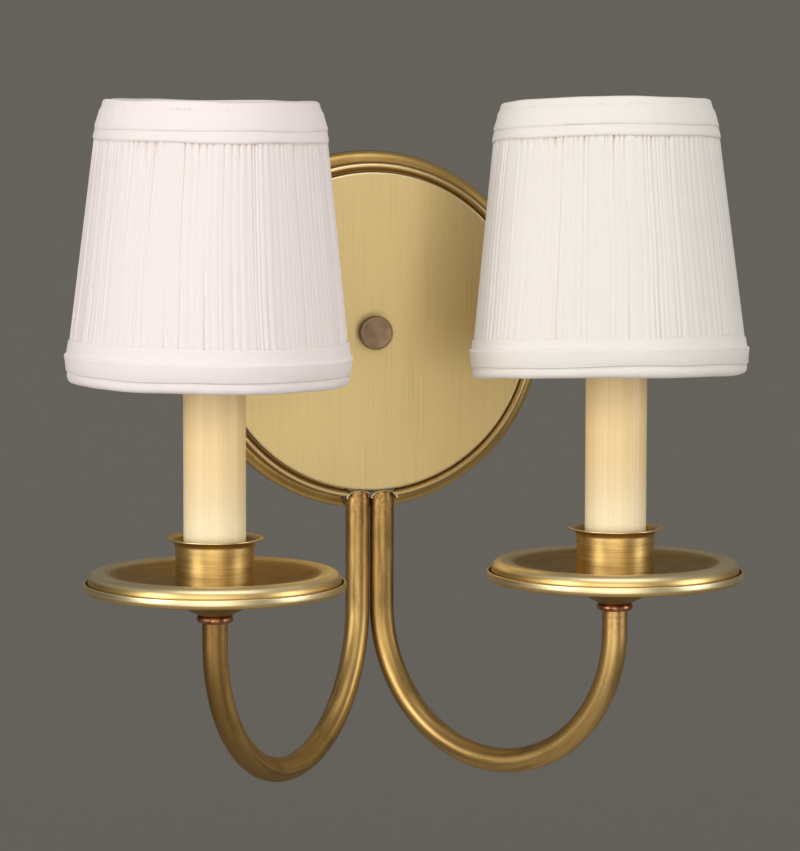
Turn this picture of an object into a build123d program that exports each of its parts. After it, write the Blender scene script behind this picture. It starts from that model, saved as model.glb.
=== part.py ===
"""Double arm wall sconce: a round brass wall plate, two U-bent tube arms, and on each
arm a pair of nested pans, a candle cup, a candle cover, a bulb and a clip-on shade.

Millimetres. The wall is the plane Y = 0, the front of the sconce faces -Y, +Z is up,
and the origin is the centre of the plate on the wall.
"""

import os
from math import cos, hypot, pi, radians, sin, tan

from build123d import *

os.makedirs("parts", exist_ok=True)

# ---------------------------------------------------------------- driving dimensions

# wall plate, a spun sheet shell: from the edge inwards an ovolo, a half-round bead,
# a groove and the flat field
plate_radius = 71.0
plate_depth = 14.0
plate_sheet = 1.0
edge_land = 1.8
ovolo_radius = 4.0
ovolo_ledge = 0.4
bead_radius = 1.6
bead_base_depth = 10.8
groove_width = 0.6
field_edge_radius = 1.2
stud_clearance_radius = 2.6

# wall bar, stud and the knob that holds the plate
bar_length = 101.6
bar_width = 15.9
bar_thickness = 1.6
bar_corner = 3.0
slot_spacing = 79.4
slot_length = 14.0
slot_width = 4.4
stud_radius = 2.05
stud_in_knob = 5.2
stud_chamfer = 0.4
thread_clearance = 0.05
lock_nut_flats = 8.7
lock_nut_height = 3.2
knob_radius = 6.7
knob_height = 7.2
knob_head_height = 4.2
knob_foot_inset = 1.5
knob_chamfer = 0.3
knob_tip_room = 0.5
knurl_count = 44
knurl_depth = 0.35
knurl_groove_share = 1 / 3
neck_radius = 3.0
neck_gap = 0.07
washer_radius = 5.4
washer_thickness = 0.6
washer_gap = 0.05

# ground screw and its wire
ground_x = -16.0
ground_head_radius = 4.4
ground_head_height = 2.6
ground_head_round = 0.65
ground_slot_length = 5.7
ground_slot_width = 0.9
ground_wire_radius = 0.8
ground_wire_gap = 0.2

# arms
tube_radius = 9.525 / 2
tube_wall = 0.9
leg_gap = 0.375
leg_insert = 15.8
leg_front_gap = 0.28
rim_hole_gap = 0.7375
hole_cut_margin = 1.0
lamp_x = 77.0
lamp_depth = 93.7
seat_drop = 98.2
straight_rise = 8.2
braze_slope = 8.5
braze_height = 5.0
braze_below_field = 0.2
braze_front_height = 1.0

# strap that holds both tube ends to the back of the field
saddle_thickness = 1.2
saddle_width = 8.0
saddle_from_top = 4.0
saddle_foot = 8.0
saddle_gap = 0.05

# stack on each arm, from the check ring up
ring_stand = 2.0875
ring_height = 3.0
boss_radius = 19.0
boss_height = 8.7
boss_land = 1.2
boss_edge_draft = 0.3
boss_foot_inset = 0.1
boss_belly = 1.2
boss_belly_rise = 3.7
pan_sheet = 0.9
lower_pan_radius = 48.8
lower_rim_height = 3.3
lower_corner_radius = 3.0
upper_pan_radius = 47.1
roll_radius = 4.0
roll_tuck = 0.8
roll_lead_drop = 0.9
upper_pan_depth = 6.0
pan_floor_radius = 20.0
cup_radius = 14.9
cup_waist = 0.25
cup_lip_radius = 18.05
cup_height = 18.5
cup_lip_drop = 3.2
cup_wall = 1.0
cup_floor = 2.7
cup_lip_slope = 0.12
cup_lip_edge = 0.3
cup_nut_wall = 2.1675
cup_nut_height = 3.0
tube_above_nut = 3.4
thread_gap = 0.07

# socket on its bracket inside the candle cover
cover_radius = 11.6
cover_wall = 1.2
cover_length = 97.0
cover_edge = 0.4
cover_seat_gap = 0.1
hub_wall = 1.9675
hub_height = 7.6
strap_width = 5.0
strap_thickness = 1.2
strap_stand = 0.4
socket_bottom_below_top = 32.0
socket_below_cover = 2.5
socket_gap = 0.3
socket_floor = 6.0
shell_radius = 6.45
shell_wall = 0.4
shell_inset = 0.8
rivet_radius = 1.5
rivet_head_radius = 2.8
rivet_head_height = 1.1
rivet_taper = 0.3
rivet_edge = 0.2

# bulb: candelabra screw base and a pointed glass
bulb_length = 99.0
bulb_radius = 15.9
bulb_widest_up = 54.2
bulb_neck_rise = 7.0
bulb_neck_flare = 0.9
bulb_tip_width_share = 0.52
bulb_tip_height_share = 0.62
bulb_glass_wall = 0.7
base_radius = 5.95
base_root = 0.5
base_thread_pitch = 2.54
base_threads = 5
base_height = 19.2
base_tip_radius = 2.2
base_edge = 0.5
base_tip_gap = 0.2
base_insulator = 3.0
outline_steps = 400
stem_height = 27.0
stem_foot_radius = 3.8
stem_foot_height = 0.8
stem_flare_height = 9.5
stem_flare_slope = 0.3
stem_shaft_radius = 1.8
stem_tip_height = 2.0
stem_tip_radius = 1.0
filament_wire = 0.3
filament_half_width = 3.4
filament_rise = 14.0
filament_bow_rise = 7.7
filament_top_half_width = 2.7
filament_foot_half_width = 1.2

# wire clip that grips the bulb, and the shade that hinges on it
clip_wire = 0.8
clip_bow_wire = 0.7
clip_pin = 0.9
clip_gap = 0.3
hoop_radius = 11.0
pin_length = 7.0
pin_overhang = 1.0
eye_radius = 2.3
eye_length = 2.2
eye_gap = 0.07
shade_height = 104.0
shade_drop = 64.6
shade_bottom_radius = 50.9
shade_wide_radius = 51.85
shade_wide_height = 10.6
shade_band_radius = 43.2
shade_band_drop = 13.4
shade_top_radius = 40.2
cover_cloth = 1.2
liner_wall = 0.5
layer_gap = 0.05
layers_above_hem = 0.6
trim_cloth = 0.8
hem_round = 0.3
top_trim_height = 14.6
bottom_trim_height = 17.0
frame_wire = 1.2
rib_wire = 1.0
frame_gap = 0.1
ring_sides = 12
ring_inset = 1.4
rib_count = 4

# each shade hangs a little differently on its clip: lean back, lean right, shift in X, Y
shade_pose = {"left": (0.2, 0.8, -1.3, 0.0), "right": (4.2, 0.0, -2.6, 3.0)}

# leads
lead_radius = 1.1
lead_spread = 1.25
terminal_spread = 4.2
lead_spread_start = 20.0
lead_spread_end = 16.0
lead_rise_near = 13.0
lead_rise_far = 15.0

# twist-on connectors
nut_x = 27.0
nut_y = -7.5
nut_z = 16.0
nut_height = 16.0
nut_base_radius = 5.2
nut_tip_radius = 3.2
nut_taper = 0.2
nut_recess_radius = 3.6
nut_recess_depth = 5.0
nut_pair = 1.3

# ---------------------------------------------------------------- worked-out places

ledge_radius = plate_radius - ovolo_radius
wall_radius = ledge_radius - ovolo_ledge
bead_inner_radius = wall_radius - 2 * bead_radius
field_radius = bead_inner_radius - groove_width
field_back = plate_depth - plate_sheet
leg_spacing = 2 * tube_radius + leg_gap
rim_hole_radius = tube_radius + rim_hole_gap
leg_y = -(field_back - leg_front_gap - tube_radius)
leg_top = -(field_radius - plate_sheet) + leg_insert

ring_radius = tube_radius + ring_stand
ring_top = -seat_drop
ring_bottom = ring_top - ring_height
boss_top = ring_top + boss_height
lower_floor_top = boss_top + pan_sheet
upper_floor_top = lower_floor_top + pan_sheet
cup_floor_top = upper_floor_top + cup_floor
cup_top = upper_floor_top + cup_height
cup_nut_top = cup_floor_top + cup_nut_height
tube_top = cup_nut_top + tube_above_nut
bend_z = ring_bottom - straight_rise
cover_bottom = cup_floor_top + cover_seat_gap
cover_top = cover_bottom + cover_length
socket_top = cover_top - socket_below_cover
socket_bottom = cover_top - socket_bottom_below_top
socket_radius = cover_radius - cover_wall - socket_gap
socket_well = socket_bottom + socket_floor
contact_top = socket_well + rivet_head_height
bulb_bottom = contact_top + base_tip_gap
base_top = bulb_bottom + base_height
bulb_top = bulb_bottom + bulb_length
bulb_widest = bulb_bottom + bulb_widest_up
pivot_z = bulb_widest + hoop_radius
bore_radius = tube_radius + thread_gap
cup_nut_flats = 2 * (bore_radius + cup_nut_wall)
hub_radius = bore_radius + hub_wall
strap_reach = hub_radius + strap_stand
shade_band_height = shade_height - shade_band_drop

signs = {"left": -1, "right": 1}


# ---------------------------------------------------------------- helpers


def save(piece, name):
    """Label a finished piece and write it as its own file."""
    piece.part.label = name
    export_step(piece.part, f"parts/{name}.step")


def lamp_center(side):
    """Foot of the lamp's axis in the plane Z = 0."""
    return Vector(signs[side] * lamp_x, -lamp_depth, 0)


def lamp_plane(side):
    """Upright plane through the lamp's axis: local x is the radius, local y is Z."""
    return Plane(origin=lamp_center(side), x_dir=(1, 0, 0), z_dir=(0, -1, 0))


def lamp_axis(side):
    """The lamp's upright axis."""
    return Axis(lamp_center(side), (0, 0, 1))


def leg_center(side):
    """Axis of the arm's leg behind the plate, in the plane Z = 0."""
    return Vector(signs[side] * leg_spacing / 2, leg_y, 0)


def arm_side_vector(side):
    """Level unit vector square to the arm's own plane, towards the front."""
    along = (lamp_center(side) - leg_center(side)).normalized()
    across = Vector(-along.Y, along.X, 0)
    if across.Y > 0:
        return across * -1
    return across


def socket_plane(side, height):
    """Level plane on the lamp's axis whose x runs through both socket terminals."""
    across = arm_side_vector(side)
    return Plane(origin=lamp_center(side) + Vector(0, 0, height), x_dir=across, z_dir=(0, 0, 1))


def bend_path_points(side, shift):
    """Both ends and the lowest point of the arm's half-circle bend, moved by shift."""
    start = leg_center(side) + shift + Vector(0, 0, bend_z)
    end = lamp_center(side) + shift + Vector(0, 0, bend_z)
    low = (start + end) * 0.5 - Vector(0, 0, (end - start).length / 2)
    return start, low, end


def turn_radii(points):
    """Bend radius at each inner corner: as large as its two runs allow."""
    vectors = [Vector(*point) for point in points]
    radii = []
    for before, corner, after in zip(vectors, vectors[1:], vectors[2:]):
        run_in = corner - before
        run_out = after - corner
        turn = radians(run_in.get_angle(run_out))
        radii.append(0.45 * min(run_in.length, run_out.length) / tan(turn / 2))
    return radii


def shade_plane(side):
    """The shade's own level plane at the height of its hinge, leaning as it hangs."""
    back, right, shift_x, shift_y = shade_pose[side]
    up = Vector(tan(radians(right)), tan(radians(back)), 1).normalized()
    across = Vector(0, 1, 0).cross(up).normalized()
    origin = lamp_center(side) + Vector(shift_x, shift_y, pivot_z)
    return Plane(origin=origin, x_dir=across, z_dir=up)


def shade_profile_plane(side):
    """Upright plane through the shade's axis: local y is the height above its hem."""
    level = shade_plane(side)
    hem = level.origin - level.z_dir * shade_drop
    return Plane(origin=hem, x_dir=level.x_dir, z_dir=level.y_dir * -1)


def shade_axis(side):
    """The shade's own axis."""
    level = shade_plane(side)
    return Axis(level.origin, level.z_dir)


def shade_radius(height):
    """Outer radius of the cloth at a height above the hem: three straight stretches."""
    corners = [
        (0.0, shade_bottom_radius),
        (shade_wide_height, shade_wide_radius),
        (shade_band_height, shade_band_radius),
        (shade_height, shade_top_radius),
    ]
    for (low, low_radius), (high, high_radius) in zip(corners, corners[1:]):
        if height <= high:
            share = (height - low) / (high - low)
            return low_radius + share * (high_radius - low_radius)
    return shade_top_radius


# ---------------------------------------------------------------- wall plate


def make_backplate():
    """Spun plate: the sheet's section turned about Y, then the holes."""
    ovolo_center = (ledge_radius, -edge_land)
    inner_ledge_y = -edge_land - ovolo_radius + plate_sheet
    inner_wall = wall_radius - plate_sheet
    inner_bead_y = -bead_base_depth + plate_sheet
    inner_field = field_radius - plate_sheet
    bead_center = wall_radius - bead_radius
    with BuildPart() as plate:
        with BuildSketch(Plane.XY):
            with BuildLine():
                Polyline((0, -plate_depth), (field_radius - field_edge_radius, -plate_depth))
                RadiusArc(
                    (field_radius - field_edge_radius, -plate_depth),
                    (field_radius, -plate_depth + field_edge_radius),
                    -field_edge_radius,
                )
                Polyline(
                    (field_radius, -plate_depth + field_edge_radius),
                    (field_radius, -bead_base_depth),
                    (bead_inner_radius, -bead_base_depth),
                )
                ThreePointArc(
                    (bead_inner_radius, -bead_base_depth),
                    (bead_center, -bead_base_depth - bead_radius),
                    (wall_radius, -bead_base_depth),
                )
                Polyline(
                    (wall_radius, -bead_base_depth),
                    (wall_radius, -edge_land - ovolo_radius),
                    (ledge_radius, -edge_land - ovolo_radius),
                )
                CenterArc(ovolo_center, ovolo_radius, -90, 90)
                Polyline((plate_radius, -edge_land), (plate_radius, 0))
                Polyline((plate_radius, 0), (plate_radius - plate_sheet, 0))
                Polyline((plate_radius - plate_sheet, 0), (plate_radius - plate_sheet, -edge_land))
                CenterArc(ovolo_center, ovolo_radius - plate_sheet, -90, 90)
                Polyline(
                    (ledge_radius, inner_ledge_y),
                    (inner_wall, inner_ledge_y),
                    (inner_wall, inner_bead_y),
                    (inner_field, inner_bead_y),
                    (inner_field, -field_back),
                    (0, -field_back),
                    (0, -plate_depth),
                )
            make_face()
        revolve(axis=Axis.Y)
        # hole for the stud in the middle of the field
        with BuildSketch(Plane.XZ.offset(field_back)):
            Circle(stud_clearance_radius)
        extrude(amount=2 * plate_sheet, both=True, mode=Mode.SUBTRACT)
        # the two scalloped holes that the arms come through, in the lower rim only
        with BuildSketch(Plane.XY.offset(-plate_radius - hole_cut_margin)):
            for side in signs:
                center = leg_center(side)
                with Locations((center.X, center.Y)):
                    Circle(rim_hole_radius)
        cut_length = plate_radius + hole_cut_margin - inner_field + plate_sheet
        extrude(amount=cut_length, mode=Mode.SUBTRACT)
    return plate


def make_rim_braze():
    """Braze that fills the rim holes round both tubes, sloping back with the rim."""
    front = leg_y - rim_hole_radius
    back = leg_y + rim_hole_radius
    top_front = -field_radius - braze_below_field
    top_back = top_front - braze_slope
    with BuildPart() as braze:
        with BuildSketch(Plane.XY.offset(-plate_radius - braze_slope)):
            for side in signs:
                center = leg_center(side)
                with Locations((center.X, center.Y)):
                    Circle(rim_hole_radius)
            for side in signs:
                center = leg_center(side)
                with Locations((center.X, center.Y)):
                    Circle(tube_radius, mode=Mode.SUBTRACT)
        extrude(amount=2 * plate_radius)
        with BuildSketch(Plane.YZ):
            Polygon(
                (front, top_front - braze_front_height),
                (back, top_back - braze_front_height),
                (back, top_back + braze_height),
                (front, top_front + braze_front_height),
                align=None,
            )
        extrude(amount=plate_radius, both=True, mode=Mode.INTERSECT)
    return braze


def make_crossbar():
    """Slotted wall bar with tapped holes for the stud and the ground screw."""
    with BuildPart() as bar:
        with BuildSketch(Plane.XZ):
            RectangleRounded(bar_length, bar_width, bar_corner)
            with Locations((-slot_spacing / 2, 0), (slot_spacing / 2, 0)):
                SlotOverall(slot_length, slot_width, mode=Mode.SUBTRACT)
            with Locations((0, 0), (ground_x, 0)):
                Circle(stud_radius + thread_clearance, mode=Mode.SUBTRACT)
        extrude(amount=bar_thickness)
    return bar


def make_center_stud():
    """Threaded stud, flush with the back of the bar, that ends inside the knob."""
    with BuildPart() as stud:
        with BuildSketch(Plane.XZ):
            Circle(stud_radius)
        extrude(amount=plate_depth + stud_in_knob + washer_thickness + 2 * washer_gap)
        chamfer(stud.edges().sort_by(Axis.Y)[0], length=stud_chamfer)
    return stud


def make_stud_lock_nut():
    """Hexagon nut that locks the stud in the bar."""
    with BuildPart() as nut:
        with BuildSketch(Plane.XZ.offset(bar_thickness)):
            RegularPolygon(lock_nut_flats / 2, 6, major_radius=False)
            Circle(stud_radius + thread_clearance, mode=Mode.SUBTRACT)
        extrude(amount=lock_nut_height)
    return nut


def make_captive_washer():
    """Washer that the knob's neck carries, so it travels with the knob."""
    with BuildPart() as washer:
        with BuildSketch(Plane.XZ.offset(plate_depth + washer_gap)):
            Circle(washer_radius)
            Circle(neck_radius + neck_gap, mode=Mode.SUBTRACT)
        extrude(amount=washer_thickness)
    return washer


def make_knurled_knob():
    """Knurled cap nut: plain foot, grooved head, flat face, neck and blind thread."""
    body_start = plate_depth + 2 * washer_gap + washer_thickness
    face = body_start + knob_height
    inner = knob_radius - knurl_depth
    mouth = knob_radius + knurl_depth
    groove_half = 2 * knob_radius * tan(2 * pi / knurl_count * knurl_groove_share)
    with BuildPart() as knob:
        # plain foot, narrower than the head
        with BuildSketch(Plane.XZ.offset(body_start)):
            Circle(knob_radius - knob_foot_inset)
        extrude(amount=knob_height - knob_head_height)
        with BuildSketch(Plane.XZ.offset(face - knob_head_height)):
            Circle(knob_radius)
            with PolarLocations(0, knurl_count):
                Polygon(
                    (inner, 0),
                    (mouth, -groove_half),
                    (mouth, groove_half),
                    align=None,
                    mode=Mode.SUBTRACT,
                )
        extrude(amount=knob_head_height - knob_chamfer)
        # plain face, slightly smaller than the knurl, with a bevelled edge
        with BuildSketch(Plane.XZ.offset(face - knob_chamfer)):
            Circle(inner)
        extrude(amount=knob_chamfer)
        chamfer(knob.faces().sort_by(Axis.Y)[0].edges(), length=knob_chamfer / 2)
        # neck that carries the washer
        with BuildSketch(Plane.XZ.offset(plate_depth + washer_gap)):
            Circle(neck_radius)
        extrude(amount=washer_thickness + 2 * washer_gap)
        # blind threaded hole
        with BuildSketch(Plane.XZ.offset(plate_depth)):
            Circle(stud_radius + thread_clearance)
        extrude(
            amount=stud_in_knob + washer_thickness + 2 * washer_gap + knob_tip_room,
            mode=Mode.SUBTRACT,
        )
    return knob


def make_ground_screw():
    """Ground screw in the bar: round head and a shank flush with the bar's back."""
    with BuildPart() as screw:
        with BuildSketch(Plane.XZ):
            with Locations((ground_x, 0)):
                Circle(stud_radius)
        extrude(amount=bar_thickness)
        with BuildSketch(Plane.XZ.offset(bar_thickness)):
            with Locations((ground_x, 0)):
                Circle(ground_head_radius)
        extrude(amount=ground_head_height)
        fillet(screw.faces().sort_by(Axis.Y)[0].edges(), radius=ground_head_round)
        with BuildSketch(Plane.XZ.offset(bar_thickness + ground_head_height / 2)):
            with Locations((ground_x, 0)):
                Rectangle(ground_slot_length, ground_slot_width)
        extrude(amount=ground_head_height, mode=Mode.SUBTRACT)
    return screw


def make_arm_saddle():
    """Hat-shaped strap over both tube ends, with its feet on the back of the field."""
    top = leg_top - saddle_from_top
    inner_y = leg_y + tube_radius + saddle_gap
    leg_in = leg_spacing / 2 + tube_radius + leg_front_gap
    leg_out = leg_in + saddle_thickness
    foot_out = leg_out + saddle_foot
    with BuildPart() as saddle:
        with BuildSketch(Plane.XY.offset(top - saddle_width)):
            with BuildLine():
                Polyline(
                    (0, inner_y),
                    (leg_in, inner_y),
                    (leg_in, -field_back),
                    (foot_out, -field_back),
                    (foot_out, -field_back + saddle_thickness),
                    (leg_out, -field_back + saddle_thickness),
                    (leg_out, inner_y + saddle_thickness),
                    (0, inner_y + saddle_thickness),
                )
                mirror(about=Plane.YZ)
            make_face()
        extrude(amount=saddle_width)
    return saddle


def sweep_wire(points, radius, name):
    """Round wire along straight runs joined by tangent arcs."""
    radii = turn_radii(points)
    print(name, "bend radii", [round(bend, 1) for bend in radii])
    with BuildPart() as wire:
        with BuildLine() as route:
            FilletPolyline(*points, radius=radii)
        with BuildSketch(Plane(origin=route.line @ 0, z_dir=route.line % 0)):
            Circle(radius)
        sweep()
    return wire


def make_ground_wire():
    """Bare wire from the ground screw's head down to the saddle's foot, by hand-chosen corners."""
    wire_y = -field_back + saddle_thickness + ground_wire_radius
    foot_x = -(leg_spacing / 2 + tube_radius + leg_front_gap + saddle_thickness + saddle_foot / 2)
    foot_z = leg_top - saddle_from_top
    start_z = -ground_head_radius - ground_wire_gap
    points = [
        (ground_x, -bar_thickness - ground_wire_radius - ground_wire_gap, start_z),
        (ground_x - 0.8, -3.4, -18.0),
        (ground_x - 2.0, -7.6, -34.0),
        (foot_x - 0.6, wire_y, foot_z + 3.0),
        (foot_x, wire_y, foot_z - saddle_width + 1.0),
    ]
    return sweep_wire(points, ground_wire_radius, "ground wire")


def make_wire_nuts():
    """Two twist-on connectors with hollow mouths, one for each colour of lead."""
    with BuildPart() as nuts:
        for sign in (-1, 1):
            base = Vector(sign * nut_x, nut_y, nut_z)
            with BuildSketch(Plane(origin=base, x_dir=(1, 0, 0), z_dir=(0, -1, 0))):
                with BuildLine():
                    Polyline(
                        (0, nut_recess_depth),
                        (nut_recess_radius, nut_recess_depth),
                        (nut_recess_radius, 0),
                        (nut_base_radius, 0),
                        (nut_base_radius - nut_taper, nut_recess_depth),
                        (nut_tip_radius, nut_height - nut_tip_radius),
                    )
                    RadiusArc(
                        (nut_tip_radius, nut_height - nut_tip_radius),
                        (0, nut_height),
                        -nut_tip_radius,
                    )
                    Line((0, nut_height), (0, nut_recess_depth))
                make_face()
            revolve(axis=Axis(base, (0, 0, 1)))
    return nuts


# ---------------------------------------------------------------- arms and their stack


def make_arm_tube(side):
    """Tube from behind the plate, down, round the half-circle bend and up to the cup."""
    start, low, end = bend_path_points(side, Vector(0, 0, 0))
    top = leg_center(side) + Vector(0, 0, leg_top)
    tip = lamp_center(side) + Vector(0, 0, tube_top)
    with BuildPart() as tube:
        with BuildLine() as route:
            Line(top, start)
            ThreePointArc(start, low, end)
            Line(end, tip)
        with BuildSketch(Plane(origin=top, z_dir=(0, 0, -1))):
            Circle(tube_radius)
            Circle(tube_radius - tube_wall, mode=Mode.SUBTRACT)
        sweep()
    return tube


def turned(side, draw):
    """Turn about the lamp's axis the closed outline that draw() makes."""
    with BuildPart() as piece:
        with BuildSketch(lamp_plane(side)):
            with BuildLine():
                draw()
            make_face()
        revolve(axis=lamp_axis(side))
    return piece


def draw_check_ring():
    """Half-round ring brazed on the tube as the shoulder of the stack."""
    middle = (ring_bottom + ring_top) / 2
    land = ring_radius - ring_height / 2
    Polyline((land, ring_bottom), (bore_radius, ring_bottom), (bore_radius, ring_top))
    Line((bore_radius, ring_top), (land, ring_top))
    ThreePointArc((land, ring_top), (ring_radius, middle), (land, ring_bottom))


def draw_pan_boss():
    """Shallow bowl-shaped boss with a flat top."""
    foot = (ring_radius - boss_foot_inset, ring_top)
    belly = ((boss_radius + foot[0]) / 2 + boss_belly, ring_top + boss_belly_rise)
    edge = (boss_radius - boss_edge_draft, boss_top - boss_land)
    Polyline(foot, (bore_radius, ring_top), (bore_radius, boss_top), (boss_radius, boss_top), edge)
    ThreePointArc(edge, belly, foot)


def draw_lower_pan():
    """Flat-bottomed dish whose corner turns up into a thin rim."""
    flat = lower_pan_radius - lower_corner_radius
    corner_z = boss_top + lower_corner_radius
    rim_top = boss_top + lower_rim_height
    inner = lower_pan_radius - pan_sheet
    Polyline((bore_radius, lower_floor_top), (bore_radius, boss_top), (flat, boss_top))
    CenterArc((flat, corner_z), lower_corner_radius, -90, 90)
    Line((lower_pan_radius, corner_z), (lower_pan_radius, rim_top))
    ThreePointArc(
        (lower_pan_radius, rim_top),
        ((lower_pan_radius + inner) / 2, rim_top + pan_sheet / 2),
        (inner, rim_top),
    )
    Line((inner, rim_top), (inner, corner_z))
    CenterArc((flat, corner_z), lower_corner_radius - pan_sheet, -90, 90)
    Line((flat, lower_floor_top), (bore_radius, lower_floor_top))


def draw_upper_pan():
    """Dish with a rolled rim: over the roll, down the slope and across the floor."""
    roll_x = upper_pan_radius - roll_radius
    crest = upper_floor_top + upper_pan_depth
    roll_z = crest - roll_radius
    tuck_z = roll_z - roll_tuck
    inner_roll = roll_radius - pan_sheet
    slope_x = roll_x - roll_radius
    slope_z = crest - roll_lead_drop
    Polyline((bore_radius, lower_floor_top), (bore_radius, upper_floor_top))
    Line((bore_radius, upper_floor_top), (pan_floor_radius, upper_floor_top))
    Spline(
        (pan_floor_radius, upper_floor_top),
        (slope_x, slope_z),
        (roll_x, crest),
        tangents=((1, 0), (1, 0)),
    )
    CenterArc((roll_x, roll_z), roll_radius, 0, 90)
    Polyline((upper_pan_radius, roll_z), (upper_pan_radius, tuck_z))
    Line((upper_pan_radius, tuck_z), (upper_pan_radius - pan_sheet, tuck_z))
    Line((upper_pan_radius - pan_sheet, tuck_z), (upper_pan_radius - pan_sheet, roll_z))
    CenterArc((roll_x, roll_z), inner_roll, 0, 90)
    Spline(
        (roll_x, crest - pan_sheet),
        (slope_x, slope_z - pan_sheet),
        (pan_floor_radius, lower_floor_top),
        tangents=((-1, 0), (-1, 0)),
    )
    Line((pan_floor_radius, lower_floor_top), (bore_radius, lower_floor_top))


def draw_candle_cup():
    """Cup with a slight waist and a flared lip."""
    waist_z = upper_floor_top + cup_height / 2
    neck_z = cup_top - cup_lip_drop
    lip_z = cup_top - cup_wall / 2
    inner = cup_radius - cup_wall
    Polyline((bore_radius, cup_floor_top), (bore_radius, upper_floor_top), (cup_radius, upper_floor_top))
    ThreePointArc(
        (cup_radius, upper_floor_top), (cup_radius - cup_waist, waist_z), (cup_radius, neck_z)
    )
    Spline(
        (cup_radius, neck_z),
        (cup_lip_radius, lip_z),
        tangents=((0, 1), (1, cup_lip_slope)),
    )
    ThreePointArc(
        (cup_lip_radius, lip_z),
        (cup_lip_radius + cup_lip_edge / 3, cup_top - cup_lip_edge / 2),
        (cup_lip_radius - cup_lip_edge, cup_top),
    )
    Spline(
        (cup_lip_radius - cup_lip_edge, cup_top),
        (inner, neck_z),
        tangents=((-1, -cup_lip_slope), (0, -1)),
    )
    Line((inner, neck_z), (inner, cup_floor_top))
    Line((inner, cup_floor_top), (bore_radius, cup_floor_top))


def make_cup_lock_nut(side):
    """Hexagon nut on the tube's threaded end that clamps cup, pans and boss."""
    with BuildPart() as nut:
        with BuildSketch(socket_plane(side, cup_floor_top)):
            RegularPolygon(cup_nut_flats / 2, 6, major_radius=False)
            Circle(bore_radius, mode=Mode.SUBTRACT)
        extrude(amount=cup_nut_height)
    return nut


def draw_candle_cover():
    """Plain sleeve standing on the cup's floor."""
    inner = cover_radius - cover_wall
    Polyline(
        (inner, cover_bottom),
        (cover_radius, cover_bottom),
        (cover_radius, cover_top - cover_edge),
        (cover_radius - cover_edge, cover_top),
        (inner, cover_top),
        (inner, cover_bottom),
    )


def make_socket_bracket(side):
    """Hub on the tube's end, a strap up one side and a tab under the socket."""
    tab_bottom = socket_bottom - strap_thickness
    strap_start = hub_radius - strap_thickness
    with BuildPart() as bracket:
        with BuildSketch(socket_plane(side, cup_nut_top)):
            Circle(hub_radius)
        extrude(amount=hub_height)
        with BuildSketch(socket_plane(side, cup_nut_top)):
            with Locations((0, (strap_start + strap_reach) / 2)):
                Rectangle(strap_width, strap_reach - strap_start)
        extrude(amount=socket_bottom - cup_nut_top)
        with BuildSketch(socket_plane(side, tab_bottom)):
            with Locations((0, (strap_reach - rivet_head_radius) / 2)):
                Rectangle(strap_width, strap_reach + rivet_head_radius)
        extrude(amount=strap_thickness)
        with BuildSketch(socket_plane(side, cup_nut_top)):
            Circle(bore_radius)
        extrude(amount=hub_height, mode=Mode.SUBTRACT)
        with BuildSketch(socket_plane(side, tab_bottom)):
            Circle(rivet_radius + layer_gap)
        extrude(amount=strap_thickness, mode=Mode.SUBTRACT)
    return bracket


def make_socket_body(side):
    """Moulded body with a well for the screw shell and a hole for the rivet."""
    with BuildPart() as body:
        with BuildSketch(socket_plane(side, socket_bottom)):
            Circle(socket_radius)
            Circle(rivet_radius + layer_gap, mode=Mode.SUBTRACT)
        extrude(amount=socket_top - socket_bottom)
        with BuildSketch(socket_plane(side, socket_well)):
            Circle(shell_radius + layer_gap)
        extrude(amount=socket_top - socket_well, mode=Mode.SUBTRACT)
    return body


def draw_screw_shell():
    """Thin screw shell, drawn plain, standing in the socket's well."""
    top = socket_top - shell_inset
    inner = shell_radius - shell_wall
    Polyline(
        (inner, socket_well),
        (shell_radius, socket_well),
        (shell_radius, top),
        (inner, top),
        (inner, socket_well),
    )


def draw_center_contact():
    """Rivet that holds the socket to its bracket; its head is the centre contact."""
    tail_top = socket_bottom - strap_thickness
    tail_bottom = tail_top - rivet_head_height
    Polyline(
        (0, tail_bottom),
        (rivet_head_radius - 2 * rivet_taper, tail_bottom),
        (rivet_head_radius - rivet_taper, tail_top),
        (rivet_radius, tail_top),
        (rivet_radius, socket_well),
        (rivet_head_radius, socket_well),
        (rivet_head_radius - rivet_taper, contact_top - rivet_edge),
        (rivet_radius, contact_top),
        (0, contact_top),
        (0, tail_bottom),
    )


# ---------------------------------------------------------------- bulb


def draw_bulb_base():
    """Screw cap: contact tip, dark insulator cone, rounded threads and a skirt."""
    thread_bottom = bulb_bottom + base_insulator
    root = base_radius - base_root
    Polyline(
        (0, bulb_bottom),
        (base_tip_radius - base_edge, bulb_bottom),
        (base_tip_radius, bulb_bottom + base_edge),
        (root - base_edge, thread_bottom - base_edge),
        (root, thread_bottom),
    )
    for turn in range(base_threads):
        low = thread_bottom + turn * base_thread_pitch
        ThreePointArc(
            (root, low), (base_radius, low + base_thread_pitch / 2), (root, low + base_thread_pitch)
        )
    thread_top = thread_bottom + base_threads * base_thread_pitch
    Polyline((root, thread_top), (root, base_top), (0, base_top), (0, bulb_bottom))


def bulb_outline(wall):
    """Glass outline, or its inner face when wall is given: neck, widest ring and tip."""
    neck = base_radius - base_root - wall
    base_level = base_top + wall
    tip = bulb_top - wall
    shoulder = base_top + bulb_neck_rise
    upper = bulb_widest + bulb_tip_height_share * (bulb_top - bulb_widest)
    return Spline(
        (neck, base_level),
        (neck + bulb_neck_flare, shoulder),
        (bulb_radius - wall, bulb_widest),
        (bulb_tip_width_share * bulb_radius - wall, upper),
        (0, tip),
        tangents=((0, 1), (-1, 0)),
    )


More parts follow.
